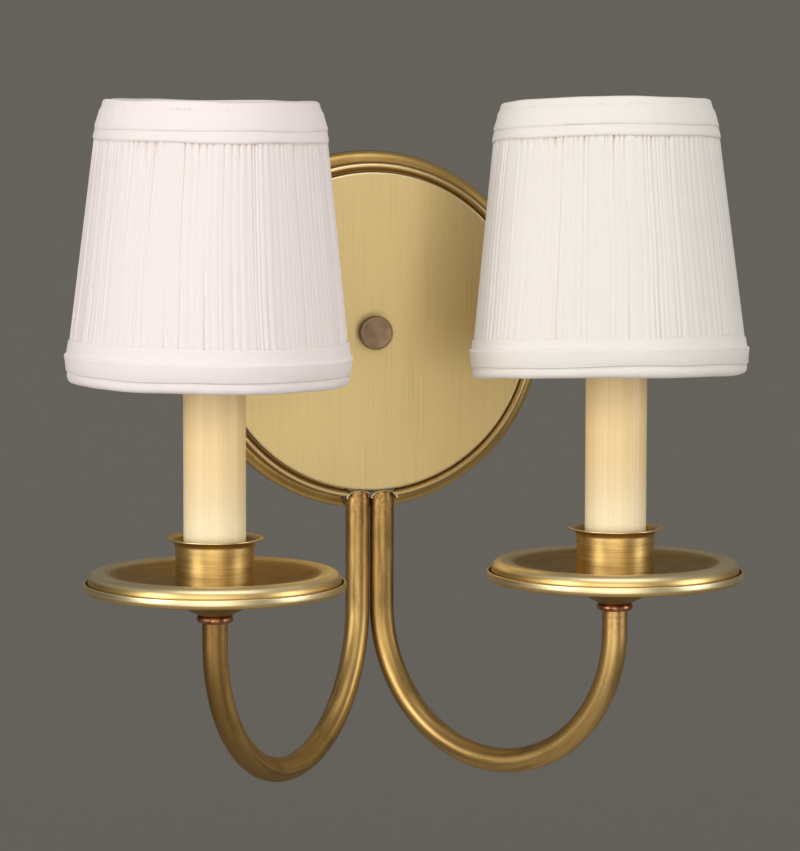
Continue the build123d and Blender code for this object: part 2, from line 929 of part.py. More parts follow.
def glass_radius(height):
    """Radius of the glass at a height, read from its own outline."""
    with BuildLine() as outline:
        bulb_outline(0.0)
    points = [outline.edge() @ (step / outline_steps) for step in range(outline_steps + 1)]
    return min(points, key=lambda point: abs(point.Y - height)).X


def draw_bulb_glass():
    """Thin pointed envelope, closed at its base by the glass seal."""
    bulb_outline(0.0)
    Line((0, bulb_top), (0, bulb_top - bulb_glass_wall))
    bulb_outline(bulb_glass_wall)
    seal = base_top + bulb_glass_wall
    Line((base_radius - base_root - bulb_glass_wall, seal), (0, seal))
    Line((0, seal), (0, base_top))
    Line((0, base_top), (base_radius - base_root, base_top))


def draw_bulb_stem():
    """Glass stem inside the bulb, flared at its foot."""
    foot = base_top + bulb_glass_wall + layer_gap
    top = foot + stem_height
    shoulder = (stem_foot_radius, foot + stem_foot_height)
    waist = (stem_shaft_radius, foot + stem_flare_height)
    Polyline((0, foot), (stem_foot_radius, foot), shoulder)
    Spline(shoulder, waist, tangents=((-1, stem_flare_slope), (0, 1)))
    Polyline(waist, (stem_shaft_radius, top - stem_tip_height), (stem_tip_radius, top), (0, top), (0, foot))


def make_filament(side):
    """Support wires and the arched filament above the stem."""
    foot = base_top + bulb_glass_wall + layer_gap + stem_height
    center = lamp_center(side)
    rising = [
        (filament_foot_half_width, 0),
        (filament_half_width, filament_bow_rise),
        (filament_top_half_width, filament_rise),
    ]
    outline = [(-x, rise) for x, rise in rising] + list(reversed(rising))
    points = [(center.X + x, center.Y, foot + rise) for x, rise in outline]
    return sweep_wire(points, filament_wire, f"filament {side}")


# ---------------------------------------------------------------- clip and shade


def clip_half_width():
    """How far each hoop stands from the lamp's axis: its top and bottom rest on the glass."""
    above = glass_radius(bulb_widest + hoop_radius)
    below = glass_radius(bulb_widest - hoop_radius)
    return max(above, below) + clip_wire + clip_gap


def make_bulb_clip(side):
    """Two upright hoops that grip the glass, a bow behind it and two hinge pins."""
    hoop_offset = clip_half_width()
    center = lamp_center(side)
    middle = Vector(center.X, center.Y, bulb_widest)
    bow_radius = hypot(hoop_offset, hoop_radius)
    with BuildPart() as clip:
        for sign in (-1, 1):
            hoop = middle + Vector(sign * hoop_offset, 0, 0)
            with BuildSketch(Plane(origin=hoop, x_dir=(0, 1, 0), z_dir=(0, 0, 1))):
                with Locations((hoop_radius, 0)):
                    Circle(clip_wire)
            revolve(axis=Axis(hoop, (1, 0, 0)))
            pin_start = hoop + Vector(0, 0, hoop_radius)
            with BuildSketch(Plane(origin=pin_start, z_dir=(sign, 0, 0))):
                Circle(clip_pin)
            extrude(amount=pin_length)
        with BuildLine():
            ThreePointArc(
                middle + Vector(-hoop_offset, hoop_radius, 0),
                middle + Vector(0, bow_radius, 0),
                middle + Vector(hoop_offset, hoop_radius, 0),
            )
        start = middle + Vector(-hoop_offset, hoop_radius, 0)
        with BuildSketch(Plane(origin=start, z_dir=(hoop_radius, hoop_offset, 0))):
            Circle(clip_bow_wire)
        sweep()
    return clip


def make_shade_frame(side):
    """Wire frame: top and bottom rings, drawn many-sided, ribs, and two arms with eyes."""
    level = shade_plane(side)
    layers = cover_cloth + liner_wall + 2 * layer_gap + frame_gap + frame_wire
    bottom_height = ring_inset
    top_height = shade_height - ring_inset - trim_cloth
    bottom_ring = shade_radius(bottom_height) - layers
    top_ring = shade_radius(top_height) - layers
    profile = shade_profile_plane(side)
    axis = shade_axis(side)
    center = lamp_center(side)
    hoop_offset = clip_half_width()
    with BuildPart() as frame:
        with BuildSketch(profile):
            with Locations((bottom_ring, bottom_height), (top_ring, top_height)):
                RegularPolygon(frame_wire, ring_sides)
        revolve(axis=axis)
        for index in range(rib_count):
            angle = 2 * pi * (index + 0.5) / rib_count
            low = Vector(bottom_ring * cos(angle), bottom_ring * sin(angle), bottom_height - shade_drop)
            high = Vector(top_ring * cos(angle), top_ring * sin(angle), top_height - shade_drop)
            start = level.from_local_coords(low)
            end = level.from_local_coords(high)
            with BuildSketch(Plane(origin=start, z_dir=end - start)):
                Circle(rib_wire)
            extrude(amount=(end - start).length)
        for sign in (-1, 1):
            eye_x = hoop_offset + pin_length - pin_overhang - eye_length / 2
            eye = Vector(center.X + sign * eye_x, center.Y, pivot_z)
            ring_point = level.from_local_coords(Vector(sign * top_ring, 0, top_height - shade_drop))
            along = ring_point - eye
            with BuildSketch(Plane(origin=eye, z_dir=along)):
                Circle(rib_wire)
            extrude(amount=along.length)
            with BuildSketch(Plane(origin=eye - Vector(eye_length / 2, 0, 0), z_dir=(1, 0, 0))):
                Circle(eye_radius)
            extrude(amount=eye_length)
            with BuildSketch(Plane(origin=eye - Vector(eye_radius, 0, 0), z_dir=(1, 0, 0))):
                Circle(clip_pin + eye_gap)
            extrude(amount=2 * eye_radius, mode=Mode.SUBTRACT)
    return frame


def shell_of_revolution(side, heights, outer_offset, wall):
    """Turn a thin layer of the shade: it follows the cloth's outline, moved inwards."""
    outer = [(shade_radius(height) - outer_offset, height) for height in heights]
    inner = [(radius - wall, height) for radius, height in reversed(outer)]
    with BuildPart() as layer:
        with BuildSketch(shade_profile_plane(side)):
            with BuildLine():
                Polyline(*outer, *inner, close=True)
            make_face()
        revolve(axis=shade_axis(side))
    return layer


def layer_heights():
    """Heights at which the layers of the shade end or bend."""
    top = shade_height - trim_cloth - layer_gap
    return [layers_above_hem, shade_wide_height, shade_band_height, top]


def make_shade_liner(side):
    """Stiff cone behind the cloth."""
    return shell_of_revolution(side, layer_heights(), cover_cloth + layer_gap, liner_wall)


def make_pleated_cover(side):
    """Pleated cloth, as the plain cone that it fills."""
    return shell_of_revolution(side, layer_heights(), 0.0, cover_cloth)


def make_top_trim(side):
    """Folded band round the top, closed over the edge of the layers."""
    low = shade_height - top_trim_height
    under = shade_height - trim_cloth
    lip = shade_radius(shade_height) - cover_cloth - liner_wall
    with BuildPart() as trim:
        with BuildSketch(shade_profile_plane(side)):
            with BuildLine():
                Polyline(
                    (shade_radius(low) + layer_gap, low),
                    (shade_radius(low) + trim_cloth, low),
                    (shade_radius(shade_band_height) + trim_cloth, shade_band_height),
                    (shade_top_radius + trim_cloth, shade_height - trim_cloth / 2),
                    (shade_top_radius + trim_cloth / 2, shade_height),
                    (lip, shade_height),
                    (lip, under),
                    (shade_radius(under) + layer_gap, under),
                    (shade_radius(shade_band_height) + layer_gap, shade_band_height),
                    close=True,
                )
            make_face()
        revolve(axis=shade_axis(side))
    return trim


def make_bottom_trim(side):
    """Folded band round the bottom, with the rolled hem under the layers."""
    top = bottom_trim_height
    lip = shade_bottom_radius - cover_cloth - liner_wall
    floor = layers_above_hem - layer_gap
    with BuildPart() as trim:
        with BuildSketch(shade_profile_plane(side)):
            with BuildLine():
                Polyline(
                    (shade_radius(top) + layer_gap, top),
                    (shade_radius(top) + trim_cloth, top),
                    (shade_wide_radius + trim_cloth, shade_wide_height),
                    (shade_bottom_radius + trim_cloth, hem_round),
                    (shade_bottom_radius + trim_cloth / 2, 0.0),
                    (lip, 0.0),
                    (lip, floor),
                    (shade_radius(floor) + layer_gap, floor),
                    (shade_wide_radius + layer_gap, shade_wide_height),
                    close=True,
                )
            make_face()
        revolve(axis=shade_axis(side))
    return trim


# ---------------------------------------------------------------- leads


def cavity_route(side, colour):
    """Hand-chosen corners of a lead behind the plate, from its connector to the tube."""
    sign = signs[side]
    shift = arm_side_vector(side) * (lead_spread if colour == "black" else -lead_spread)
    exit_point = leg_center(side) + shift
    nut_sign = -1 if colour == "black" else 1
    near = sign == nut_sign
    end_x = nut_sign * (nut_x + (nut_pair if near else -nut_pair))
    level = -10.4 if colour == "black" else -4.9
    mid_y = -9.4 if colour == "black" else -5.4
    high = (nut_sign * 20.0, mid_y, -13.0) if near else (nut_sign * 14.0, mid_y, -8.0)
    drop = 4.0 if near else 9.0
    rise = lead_rise_near if near else lead_rise_far
    return [
        (end_x, nut_y, nut_z + nut_recess_depth),
        (end_x, nut_y, drop),
        high,
        (exit_point.X, level, leg_top + rise),
        (exit_point.X, exit_point.Y, leg_top),
        (exit_point.X, exit_point.Y, bend_z),
    ]


def terminal_route(side, colour):
    """Corners of the lead from the bend up through the tube to the socket's underside."""
    sign = 1 if colour == "black" else -1
    across = arm_side_vector(side) * sign
    center = lamp_center(side)
    narrow = center + across * lead_spread
    wide = center + across * terminal_spread
    return [
        (narrow.X, narrow.Y, bend_z),
        (narrow.X, narrow.Y, tube_top + lead_spread_start),
        (wide.X, wide.Y, socket_bottom - lead_spread_end),
        (wide.X, wide.Y, socket_bottom),
    ]


def make_lead(side, colour):
    """Insulated lead: connector, plate cavity, arm tube and socket terminal."""
    shift = arm_side_vector(side) * (lead_spread if colour == "black" else -lead_spread)
    first = cavity_route(side, colour)
    last = terminal_route(side, colour)
    start, low, end = bend_path_points(side, shift)
    radii = turn_radii(first) + turn_radii(last)
    with BuildPart() as lead:
        with BuildLine() as route:
            FilletPolyline(*first, radius=turn_radii(first))
            ThreePointArc(start, low, end)
            FilletPolyline(*last, radius=turn_radii(last))
        with BuildSketch(Plane(origin=first[0], z_dir=(0, 0, -1))):
            Circle(lead_radius)
        sweep()
    length = sum(edge.length for edge in route.edges())
    print(f"lead {colour} {side}: length {length:.0f}, radii", [round(r, 1) for r in radii])
    share = lead.part.volume / (pi * lead_radius**2 * length)
    print(f"  volume over section times length {share:.4f}")
    return lead


# ---------------------------------------------------------------- everything

save(make_backplate(), "backplate")
save(make_rim_braze(), "rim_braze")
save(make_crossbar(), "crossbar")
save(make_center_stud(), "center_stud")
save(make_stud_lock_nut(), "stud_lock_nut")
save(make_captive_washer(), "captive_washer")
save(make_knurled_knob(), "knurled_knob")
save(make_ground_screw(), "ground_screw")
save(make_ground_wire(), "ground_wire")
save(make_arm_saddle(), "arm_saddle")
save(make_wire_nuts(), "wire_nuts")

for side in signs:
    save(make_arm_tube(side), f"arm_tube_{side}")
    save(turned(side, draw_check_ring), f"check_ring_{side}")
    save(turned(side, draw_pan_boss), f"pan_boss_{side}")
    save(turned(side, draw_lower_pan), f"lower_pan_{side}")
    save(turned(side, draw_upper_pan), f"upper_pan_{side}")
    save(turned(side, draw_candle_cup), f"candle_cup_{side}")
    save(make_cup_lock_nut(side), f"cup_lock_nut_{side}")
    save(turned(side, draw_candle_cover), f"candle_cover_{side}")
    save(make_socket_bracket(side), f"socket_bracket_{side}")
    save(make_socket_body(side), f"socket_body_{side}")
    save(turned(side, draw_screw_shell), f"screw_shell_{side}")
    save(turned(side, draw_center_contact), f"center_contact_{side}")
    save(turned(side, draw_bulb_base), f"bulb_base_{side}")
    save(turned(side, draw_bulb_glass), f"bulb_glass_{side}")
    save(turned(side, draw_bulb_stem), f"bulb_stem_{side}")
    save(make_filament(side), f"filament_{side}")
    save(make_bulb_clip(side), f"bulb_clip_{side}")
    save(make_shade_frame(side), f"shade_frame_{side}")
    save(make_shade_liner(side), f"shade_liner_{side}")
    save(make_pleated_cover(side), f"pleated_cover_{side}")
    save(make_top_trim(side), f"top_trim_{side}")
    save(make_bottom_trim(side), f"bottom_trim_{side}")
    save(make_lead(side, "black"), f"lead_black_{side}")
    save(make_lead(side, "white"), f"lead_white_{side}")

print("hoops stand", round(clip_half_width(), 2), "from the lamp's axis")
print("pivot height", round(pivot_z, 2), "bulb top", round(bulb_top, 2), "cover top", round(cover_top, 2))
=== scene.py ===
# %% [markdown]
# # A double arm wall sconce in antique brass
#
# A spun brass plate covers the wiring on the wall. Two thin tubes come out of its lower
# rim, swing forwards and outwards in a wide bend and rise again. Each tube carries two
# nested pans, a cup, an ivory sleeve shaped like a candle, a pointed bulb and a small
# pleated shade that clips on the bulb.
#
# The engineering model is loaded first and is never moved. Every piece that is made
# below takes its place from that model, rides on one of its bodies, and hides the plain
# solid that it stands for.

# %% Load the frame and name its sizes
import random
from math import atan2, cos, exp, hypot, pi, radians, sin, tan

import bmesh
import bpy
from mathutils import Matrix, Vector, geometry, noise


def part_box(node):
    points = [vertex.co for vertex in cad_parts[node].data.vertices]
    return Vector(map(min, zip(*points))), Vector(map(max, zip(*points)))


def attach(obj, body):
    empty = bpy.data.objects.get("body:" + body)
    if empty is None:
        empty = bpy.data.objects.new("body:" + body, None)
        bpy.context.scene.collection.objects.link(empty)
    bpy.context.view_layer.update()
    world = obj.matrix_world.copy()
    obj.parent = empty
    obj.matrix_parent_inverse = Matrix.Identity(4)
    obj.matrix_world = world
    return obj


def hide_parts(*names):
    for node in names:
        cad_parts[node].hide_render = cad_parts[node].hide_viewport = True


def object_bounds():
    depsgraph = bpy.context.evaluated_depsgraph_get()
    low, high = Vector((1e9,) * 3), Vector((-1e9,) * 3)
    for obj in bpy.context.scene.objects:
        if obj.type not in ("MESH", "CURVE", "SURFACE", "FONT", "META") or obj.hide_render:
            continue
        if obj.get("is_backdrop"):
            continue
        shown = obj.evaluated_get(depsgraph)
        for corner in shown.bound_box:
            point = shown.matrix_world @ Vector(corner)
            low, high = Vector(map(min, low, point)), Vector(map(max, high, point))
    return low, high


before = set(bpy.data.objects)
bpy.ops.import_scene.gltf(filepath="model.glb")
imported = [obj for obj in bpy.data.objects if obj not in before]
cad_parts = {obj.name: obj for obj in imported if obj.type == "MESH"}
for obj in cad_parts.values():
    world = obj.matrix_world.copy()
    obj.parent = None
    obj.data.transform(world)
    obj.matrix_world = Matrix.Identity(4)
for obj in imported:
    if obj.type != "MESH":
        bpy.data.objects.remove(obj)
cad_low, cad_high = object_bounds()
MM = 0.001
SIDES = {"left": -1, "right": 1}


def middle(node):
    """Centre of a node's box."""
    low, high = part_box(node)
    return (low + high) / 2


lamp = {side: Vector((middle(f"check_ring_{side}").x, middle(f"check_ring_{side}").y, 0)) for side in SIDES}
print("lamp axes at", {side: tuple(round(c / MM, 1) for c in place) for side, place in lamp.items()})

# %% [markdown]
# ## The camera
#
# The photograph was taken from about a metre and a half away with a long lens, a little
# to the left of the sconce and a little above it. The camera could be aimed with a
# constraint, but three plain turns are easier to read, last one first: swing it to the
# right, stand it upright but tipped a little down, and roll it by a tenth of a degree.

# %% Set up the camera
PHOTO_HEIGHT_PX = 851
FOCAL_LENGTH_PX = 3800
SENSOR = 36.0
CAMERA_PLACE = Vector((-313.3, -1472.3, 113.7)) * MM
CAMERA_SWING = radians(-12.536)
CAMERA_TIP = radians(-5.771)
CAMERA_ROLL = radians(0.111)

camera_data = bpy.data.cameras.new("camera")
camera_data.sensor_width = SENSOR
camera_data.lens = FOCAL_LENGTH_PX * SENSOR / PHOTO_HEIGHT_PX
camera = bpy.data.objects.new("camera", camera_data)
bpy.context.scene.collection.objects.link(camera)
camera.matrix_world = (
    Matrix.Translation(CAMERA_PLACE)
    @ Matrix.Rotation(CAMERA_SWING, 4, "Z")
    @ Matrix.Rotation(pi / 2 + CAMERA_TIP, 4, "X")
    @ Matrix.Rotation(CAMERA_ROLL, 4, "Z")
)
bpy.context.scene.camera = camera
print("lens", round(camera_data.lens, 1), "mm")

# %% [markdown]
# ## Turning pieces on a lathe
#
# Nearly everything here is round: the plate, the pans, the cups and the sleeves are
# spun or turned from sheet and rod. So the main tool is a lathe. It takes the outline
# of half a section as points of radius and height, and the spin operator carries that
# outline once round its axis. Arcs and eased curves in an outline come from two small
# helpers, so an outline is written with only the corners that a drawing would show.

# %% Outline helpers and the lathe


def arc(centre, radius, start, end, steps=10):
    """Points on a circle from one angle to another, in degrees, both ends included."""
    turns = [radians(start + (end - start) * step / steps) for step in range(steps + 1)]
    return [(centre[0] + radius * cos(turn), centre[1] + radius * sin(turn)) for turn in turns]


def eased(start, start_pull, end_pull, end, steps=10):
    """Points on a smooth curve that leaves start towards start_pull and ends out of end_pull."""
    flat = [Vector((*point, 0)) for point in (start, start_pull, end_pull, end)]
    return [(p.x, p.y) for p in geometry.interpolate_bezier(*flat, steps + 1)]


WELD = 1e-6
SHARP = radians(38)


def spin(bm, geom, centre, axis, angle, steps, merge=False):
    """Carry points and edges round an axis; the last row comes back."""
    return bmesh.ops.spin(
        bm,
        geom=geom,
        cent=centre,
        axis=axis,
        dvec=(0, 0, 0),
        angle=angle,
        steps=steps,
        use_merge=merge,
        use_duplicate=False,
    )["geom_last"]


def lathe(outline, centre=(0, 0, 0), axis="Z", steps=128, closed=True):
    """Spin an outline of (radius, height) in millimetres through a full turn."""
    bm = bmesh.new()
    centre = Vector(centre)
    across = Vector((1, 0, 0))
    along = Vector((0, 0, 1)) if axis == "Z" else Vector((0, -1, 0))
    places = [centre + (across * radius + along * height) * MM for radius, height in outline]
    corners = [bm.verts.new(place) for place in places]
    edges = [bm.edges.new(pair) for pair in zip(corners, corners[1:])]
    if closed:
        edges.append(bm.edges.new((corners[-1], corners[0])))
    spin(bm, corners + edges, centre, along, 2 * pi, steps, merge=True)
    bmesh.ops.remove_doubles(bm, verts=bm.verts, dist=WELD)
    return bm


def finish_piece(bm, name, sharp=SHARP):
    """Turn the faces outwards, smooth all but the sharp edges, and make the object."""
    bmesh.ops.remove_doubles(bm, verts=bm.verts, dist=WELD)
    bmesh.ops.recalc_face_normals(bm, faces=bm.faces)
    for face in bm.faces:
        face.smooth = True
    for edge in bm.edges:
        edge.smooth = edge.calc_face_angle(0) < sharp
    mesh = bpy.data.meshes.new(name)
    bm.to_mesh(mesh)
    bm.free()
    piece = bpy.data.objects.new(name, mesh)
    bpy.context.scene.collection.objects.link(piece)
    return piece


def with_modifier(piece, kind, **settings):
    """Apply one modifier at once, so that what is seen is what the mesh holds."""
    modifier = piece.modifiers.new(kind.lower(), kind)
    for name, value in settings.items():
        setattr(modifier, name, value)
    bpy.context.view_layer.update()
    graph = bpy.context.evaluated_depsgraph_get()
    made = bpy.data.meshes.new_from_object(piece.evaluated_get(graph))
    piece.modifiers.clear()
    piece.data = made
    return piece


print("lathe ready")

# %% [markdown]
# ## Mixing finishes
#
# A finish is a small net of shader nodes. Written node by node it is hard to follow, so
# a value between two nodes is wrapped in a class that understands plain arithmetic:
# `1 - mask * 0.5` adds the Math nodes by itself. Everything else goes through one
# method that takes a node's type, its settings and what goes into its sockets.

# %% A signal that understands arithmetic, and a recipe that holds the nodes


class Signal:
    """One value that travels between shader nodes."""

    def __init__(self, recipe, socket):
        self.recipe = recipe
        self.socket = socket

    def __add__(self, other):
        return self.recipe.math("ADD", self, other)

    def __sub__(self, other):
        return self.recipe.math("SUBTRACT", self, other)

    def __rsub__(self, other):
        return self.recipe.math("SUBTRACT", other, self)

    def __mul__(self, other):
        return self.recipe.math("MULTIPLY", self, other)

    __radd__ = __add__


class Recipe:
    """One finish: a material with a single shader and the nodes that feed it."""

    def __init__(self, name, **constants):
        self.material = bpy.data.materials.new(name)
        self.material.use_nodes = True
        self.tree = self.material.node_tree
        self.shader = self.tree.nodes["Principled BSDF"]
        for socket, value in constants.items():
            self.shader.inputs[socket.replace("_", " ")].default_value = value

    def node(self, kind, settings=None, inputs=None, output=0):
        """Add a node: its settings first, then a value or a link for each socket."""
        made = self.tree.nodes.new(kind)
        for name, value in (settings or {}).items():
            setattr(made, name, value)
        for name, value in (inputs or {}).items():
            self.plug(made.inputs[name], value)
        return Signal(self, made.outputs[output])

    def plug(self, socket, value):
        """Put a signal, a number or a colour into a socket."""
        if isinstance(value, Signal):
            self.tree.links.new(value.socket, socket)
        elif isinstance(value, tuple) and len(value) == 3 and socket.type == "RGBA":
            socket.default_value = (*value, 1.0)
        else:
            socket.default_value = value

    def feed(self, **signals):
        """Connect signals to the shader's own sockets."""
        for name, signal in signals.items():
            self.plug(self.shader.inputs[name.replace("_", " ")], signal)
        return self

    def math(self, operation, first, second=0.0):
        return self.node("ShaderNodeMath", {"operation": operation}, {0: first, 1: second})

    def point(self):
        """A point in the shared frame, in metres."""
        return self.node("ShaderNodeTexCoord", output="Object")

    def place(self):
        """The three coordinates of that point, one by one."""
        split = {"Vector": self.point()}
        return [self.node("ShaderNodeSeparateXYZ", {}, split, output=axis) for axis in "XYZ"]

    def vector(self, x, y, z):
        return self.node("ShaderNodeCombineXYZ", {}, {"X": x, "Y": y, "Z": z})

    def cloud(self, vector, scale, detail=3.0, roughness=0.5):
        """Soft noise from 0 to 1."""
        inputs = {"Vector": vector, "Scale": scale, "Detail": detail, "Roughness": roughness}
        return self.node("ShaderNodeTexNoise", {"noise_dimensions": "3D"}, inputs, output="Fac")

    def haze(self, scale, detail=3.0):
        """Noise that looks alike in every direction."""
        return self.cloud(self.point(), scale, detail)

    def window(self, value, low, high):
        """0 below low, 1 above high, eased between; low may be the larger."""
        inputs = {"Value": value, "From Min": low, "From Max": high}
        return self.node("ShaderNodeMapRange", {"interpolation_type": "SMOOTHSTEP"}, inputs)

    def span(self, value, low, high):
        """A window whose ends are in millimetres."""
        return self.window(value, low * MM, high * MM)

    def mix(self, share, first, second):
        """Colour between two colours."""
        return self.node("ShaderNodeMix", {"data_type": "RGBA"}, {0: share, 6: first, 7: second}, output=2)

    def bump(self, height, strength, depth):
        """Surface relief from a height signal; depth is in millimetres."""
        inputs = {"Height": height, "Strength": strength, "Distance": depth * MM}
        return self.node("ShaderNodeBump", {}, inputs, output="Normal")

    def attribute(self, name):
        return self.node("ShaderNodeAttribute", {"attribute_name": name}, {}, output="Fac")


def clouded_finish(name, scale, detail, span, colours, roughness, spread, relief=None, **constants):
    """A finish whose colour, roughness and relief all follow one haze."""
    recipe = Recipe(name, **constants)
    haze = recipe.haze(scale, detail)
    recipe.feed(
        Base_Color=recipe.mix(recipe.window(haze, *span), *colours),
        Roughness=roughness + haze * spread,
    )
    return recipe.feed(Normal=recipe.bump(haze, *relief)) if relief else recipe


print("recipes ready")

# %% [markdown]
# ## Antique brass
#
# The metal is lacquered brass that was browned and then brushed back, so each surface
# keeps two things: a satin sheen broken by long fine scratches, and a brown film where
# the brush didn't reach. The scratches are noise that is squeezed across the brushing
# and stretched along it. The brown film is slow, cloudy noise, deeper in the hollows.
# One function makes the brass of the plate and of every turned piece. The arms have
# their own below, because their scratches follow a bend.

# %% The shared brass function
GOLD = (0.74, 0.49, 0.16)
PALE_GOLD = (0.84, 0.65, 0.31)
FIELD_GOLD = (0.78, 0.605, 0.285)
# a pale worn gold that also paints highlights on edges, rolls and lips
WORN_HIGHLIGHT_GOLD = (0.95, 0.82, 0.52)
ARM_GOLD = (0.60, 0.39, 0.13)
CUP_GOLD = (0.66, 0.43, 0.14)
BROWN = (0.22, 0.12, 0.035)
OLIVE = (0.36, 0.26, 0.09)
# olive painted dark: painted shade for the boss under the pans
SHADED_OLIVE = (0.27, 0.19, 0.065)
COPPER = (0.60, 0.27, 0.14)
SCRATCH_FINE = 2300.0
SCRATCH_LONG = 38.0
FILM_LIMIT = 0.8


def brass_finish(recipe, fine, film, light, satin, depth=0.012, contrast=0.4):
    """Feed a brass recipe from a fine scratch signal and a brown film mask."""
    tone = recipe.mix(recipe.window(fine, 0.35, 0.75) * contrast, light, PALE_GOLD)
    shade = recipe.window(fine, 0.55, 0.3) * contrast
    worn = recipe.mix(shade, tone, OLIVE)
    colour = recipe.mix(film, worn, BROWN)
    return recipe.feed(
        Base_Color=colour,
        Roughness=satin + fine * 0.12 + film * 0.12,
        Normal=recipe.bump(fine, 0.55, depth),
    )


def ring_coordinates(recipe, centre, axis="Z"):
    """Distance from an axis, angle round it and height along it."""
    x, y, z = recipe.place()
    first = x - centre[0]
    second = y - centre[1] if axis == "Z" else z - centre[2]
    height = z if axis == "Z" else y
    reach = recipe.math("SQRT", first * first + second * second)
    angle = recipe.math("ARCTAN2", second, first)
    return reach, angle, height


def turned_rings(recipe, reach, angle, height):
    """Fine scratches that run round an axis."""
    rings = recipe.vector(reach * SCRATCH_FINE, height * SCRATCH_FINE, angle * 1.6)
    return recipe.cloud(rings, 0.42, detail=5.0, roughness=0.6)


def banded(recipe, reach, height, bands):
    """Add up bands: each has a span of reach or None, a span of height or None, and a strength."""
    total = 0.0
    for across, upright, strength in bands:
        if across:
            strength = recipe.span(reach, *across) * strength
        if upright:
            strength = recipe.span(height, *upright) * strength
        total = strength + total
    return total


def lathe_brass(name, centre, film, worn=(), light=GOLD, satin=0.32, clouds=0.35, contrast=0.4):
    """Brass with the rings that a lathe and its brush leave, bands of film, and bands of wear that also
    paint highlights.
    """
    recipe = Recipe(name, Metallic=1.0)
    reach, angle, height = ring_coordinates(recipe, centre)
    fine = turned_rings(recipe, reach, angle, height)
    hollow = recipe.math("MINIMUM", banded(recipe, reach, height, film), FILM_LIMIT)
    cloudy = recipe.window(recipe.haze(42.0), 0.5, 0.85) * clouds
    film = recipe.math("MINIMUM", cloudy + hollow, 0.92)
    if worn:
        # the worn bands mix towards pale gold: wear and a painted highlight together
        rubbed_and_highlit = banded(recipe, reach, height, worn)
        light = recipe.mix(rubbed_and_highlit, light, WORN_HIGHLIGHT_GOLD)
        film = film * (1 - rubbed_and_highlit * 0.8)
    return brass_finish(recipe, fine, film, light, satin, contrast=contrast)


print("brass ready")

# %% [markdown]
# ## The wall plate
#
# The plate is spun from one sheet: a quarter-round outer edge, a straight side, a half-
# round bead, a narrow groove and a flat field that stands a little proud. It could be
# modelled as stacked discs, but a real spun plate has one continuous skin, so its whole
# section is one closed outline. The front of the outline is drawn from the centre out,
# and the back follows it one sheet thickness behind.

# %% Spin the plate and cut the two holes that the arms come through
PLATE_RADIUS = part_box("backplate")[1].x / MM
PLATE_DEPTH = -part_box("backplate")[0].y / MM
SHEET = 1.0
LAND = 1.8
OVOLO = 4.0
BEAD = 1.6
BEAD_BASE = 10.8
GROOVE = 0.6
WALL_RADIUS = PLATE_RADIUS - OVOLO - 0.4
FIELD_RADIUS = WALL_RADIUS - 2 * BEAD - GROOVE
STUD_HOLE = 2.6
HOLE_RADIUS = 5.75
TUBE_RADIUS = 9.525 / 2
PLATE_STEPS = 288
BRIDGE_SIZE = (5.2 * MM, 6.0 * MM, 8.0 * MM)


def plate_outline():
    """Front of the section from the stud hole outwards, then its back."""
    ledge = (PLATE_RADIUS - OVOLO, LAND)
    front = [(STUD_HOLE, PLATE_DEPTH)]
    front += arc((FIELD_RADIUS - 0.9, PLATE_DEPTH - 0.9), 0.9, 90, 0, 6)
    front += [(FIELD_RADIUS, BEAD_BASE + 0.25), (FIELD_RADIUS + 0.2, BEAD_BASE)]
    front += [(WALL_RADIUS - 2 * BEAD, BEAD_BASE)]
    front += arc((WALL_RADIUS - BEAD, BEAD_BASE), BEAD, 180, 0, 14)
    front += [(WALL_RADIUS, LAND + OVOLO + 0.2), (WALL_RADIUS + 0.2, LAND + OVOLO)]
    front += arc(ledge, OVOLO, 90, 0, 14)
    front += [(PLATE_RADIUS, 0.3), (PLATE_RADIUS - 0.3, 0)]
    inner_wall = WALL_RADIUS - SHEET
    back = [(PLATE_RADIUS - SHEET, 0), (PLATE_RADIUS - SHEET, LAND)]
    back += arc(ledge, OVOLO - SHEET, 0, 90, 10)
    back += [(inner_wall, LAND + OVOLO - SHEET), (inner_wall, BEAD_BASE - SHEET)]
    back += [(FIELD_RADIUS - SHEET, BEAD_BASE - SHEET), (FIELD_RADIUS - SHEET, PLATE_DEPTH - SHEET)]
    back += [(STUD_HOLE, PLATE_DEPTH - SHEET)]
    return front + back


def leg_place(side):
    """Axis of an arm's leg behind the plate."""
    low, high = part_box(f"arm_tube_{side}")
    inner = min(abs(low.x), abs(high.x))
    return Vector((SIDES[side] * (inner + TUBE_RADIUS * MM), high.y - TUBE_RADIUS * MM, 0))


plate_bm = lathe(plate_outline(), axis="Y", steps=PLATE_STEPS)
plate = finish_piece(plate_bm, "spun_plate", sharp=radians(50))

cutter_bm = bmesh.new()
for side in SIDES:
    leg = leg_place(side)
    hole_top = -(FIELD_RADIUS - 2 * SHEET) * MM
    hole_length = 14 * MM
    bmesh.ops.create_cone(
        cutter_bm,
        cap_ends=True,
        segments=64,
        radius1=HOLE_RADIUS * MM,
        radius2=HOLE_RADIUS * MM,
        depth=hole_length,
        matrix=Matrix.Translation((leg.x, leg.y, hole_top - hole_length / 2)),
    )
bridge_front = Vector((0, -BEAD_BASE * MM, -(FIELD_RADIUS + 4.4) * MM))
bridge = Matrix.Translation(bridge_front) @ Matrix.Diagonal((*BRIDGE_SIZE, 1))
bmesh.ops.create_cube(cutter_bm, size=1.0, matrix=bridge)
cutter = finish_piece(cutter_bm, "hole_cutter")
with_modifier(plate, "BOOLEAN", object=cutter, operation="DIFFERENCE", solver="EXACT", use_self=True)
bpy.data.objects.remove(cutter)
print("plate", round(PLATE_RADIUS, 1), "mm radius,", len(plate.data.polygons), "faces")

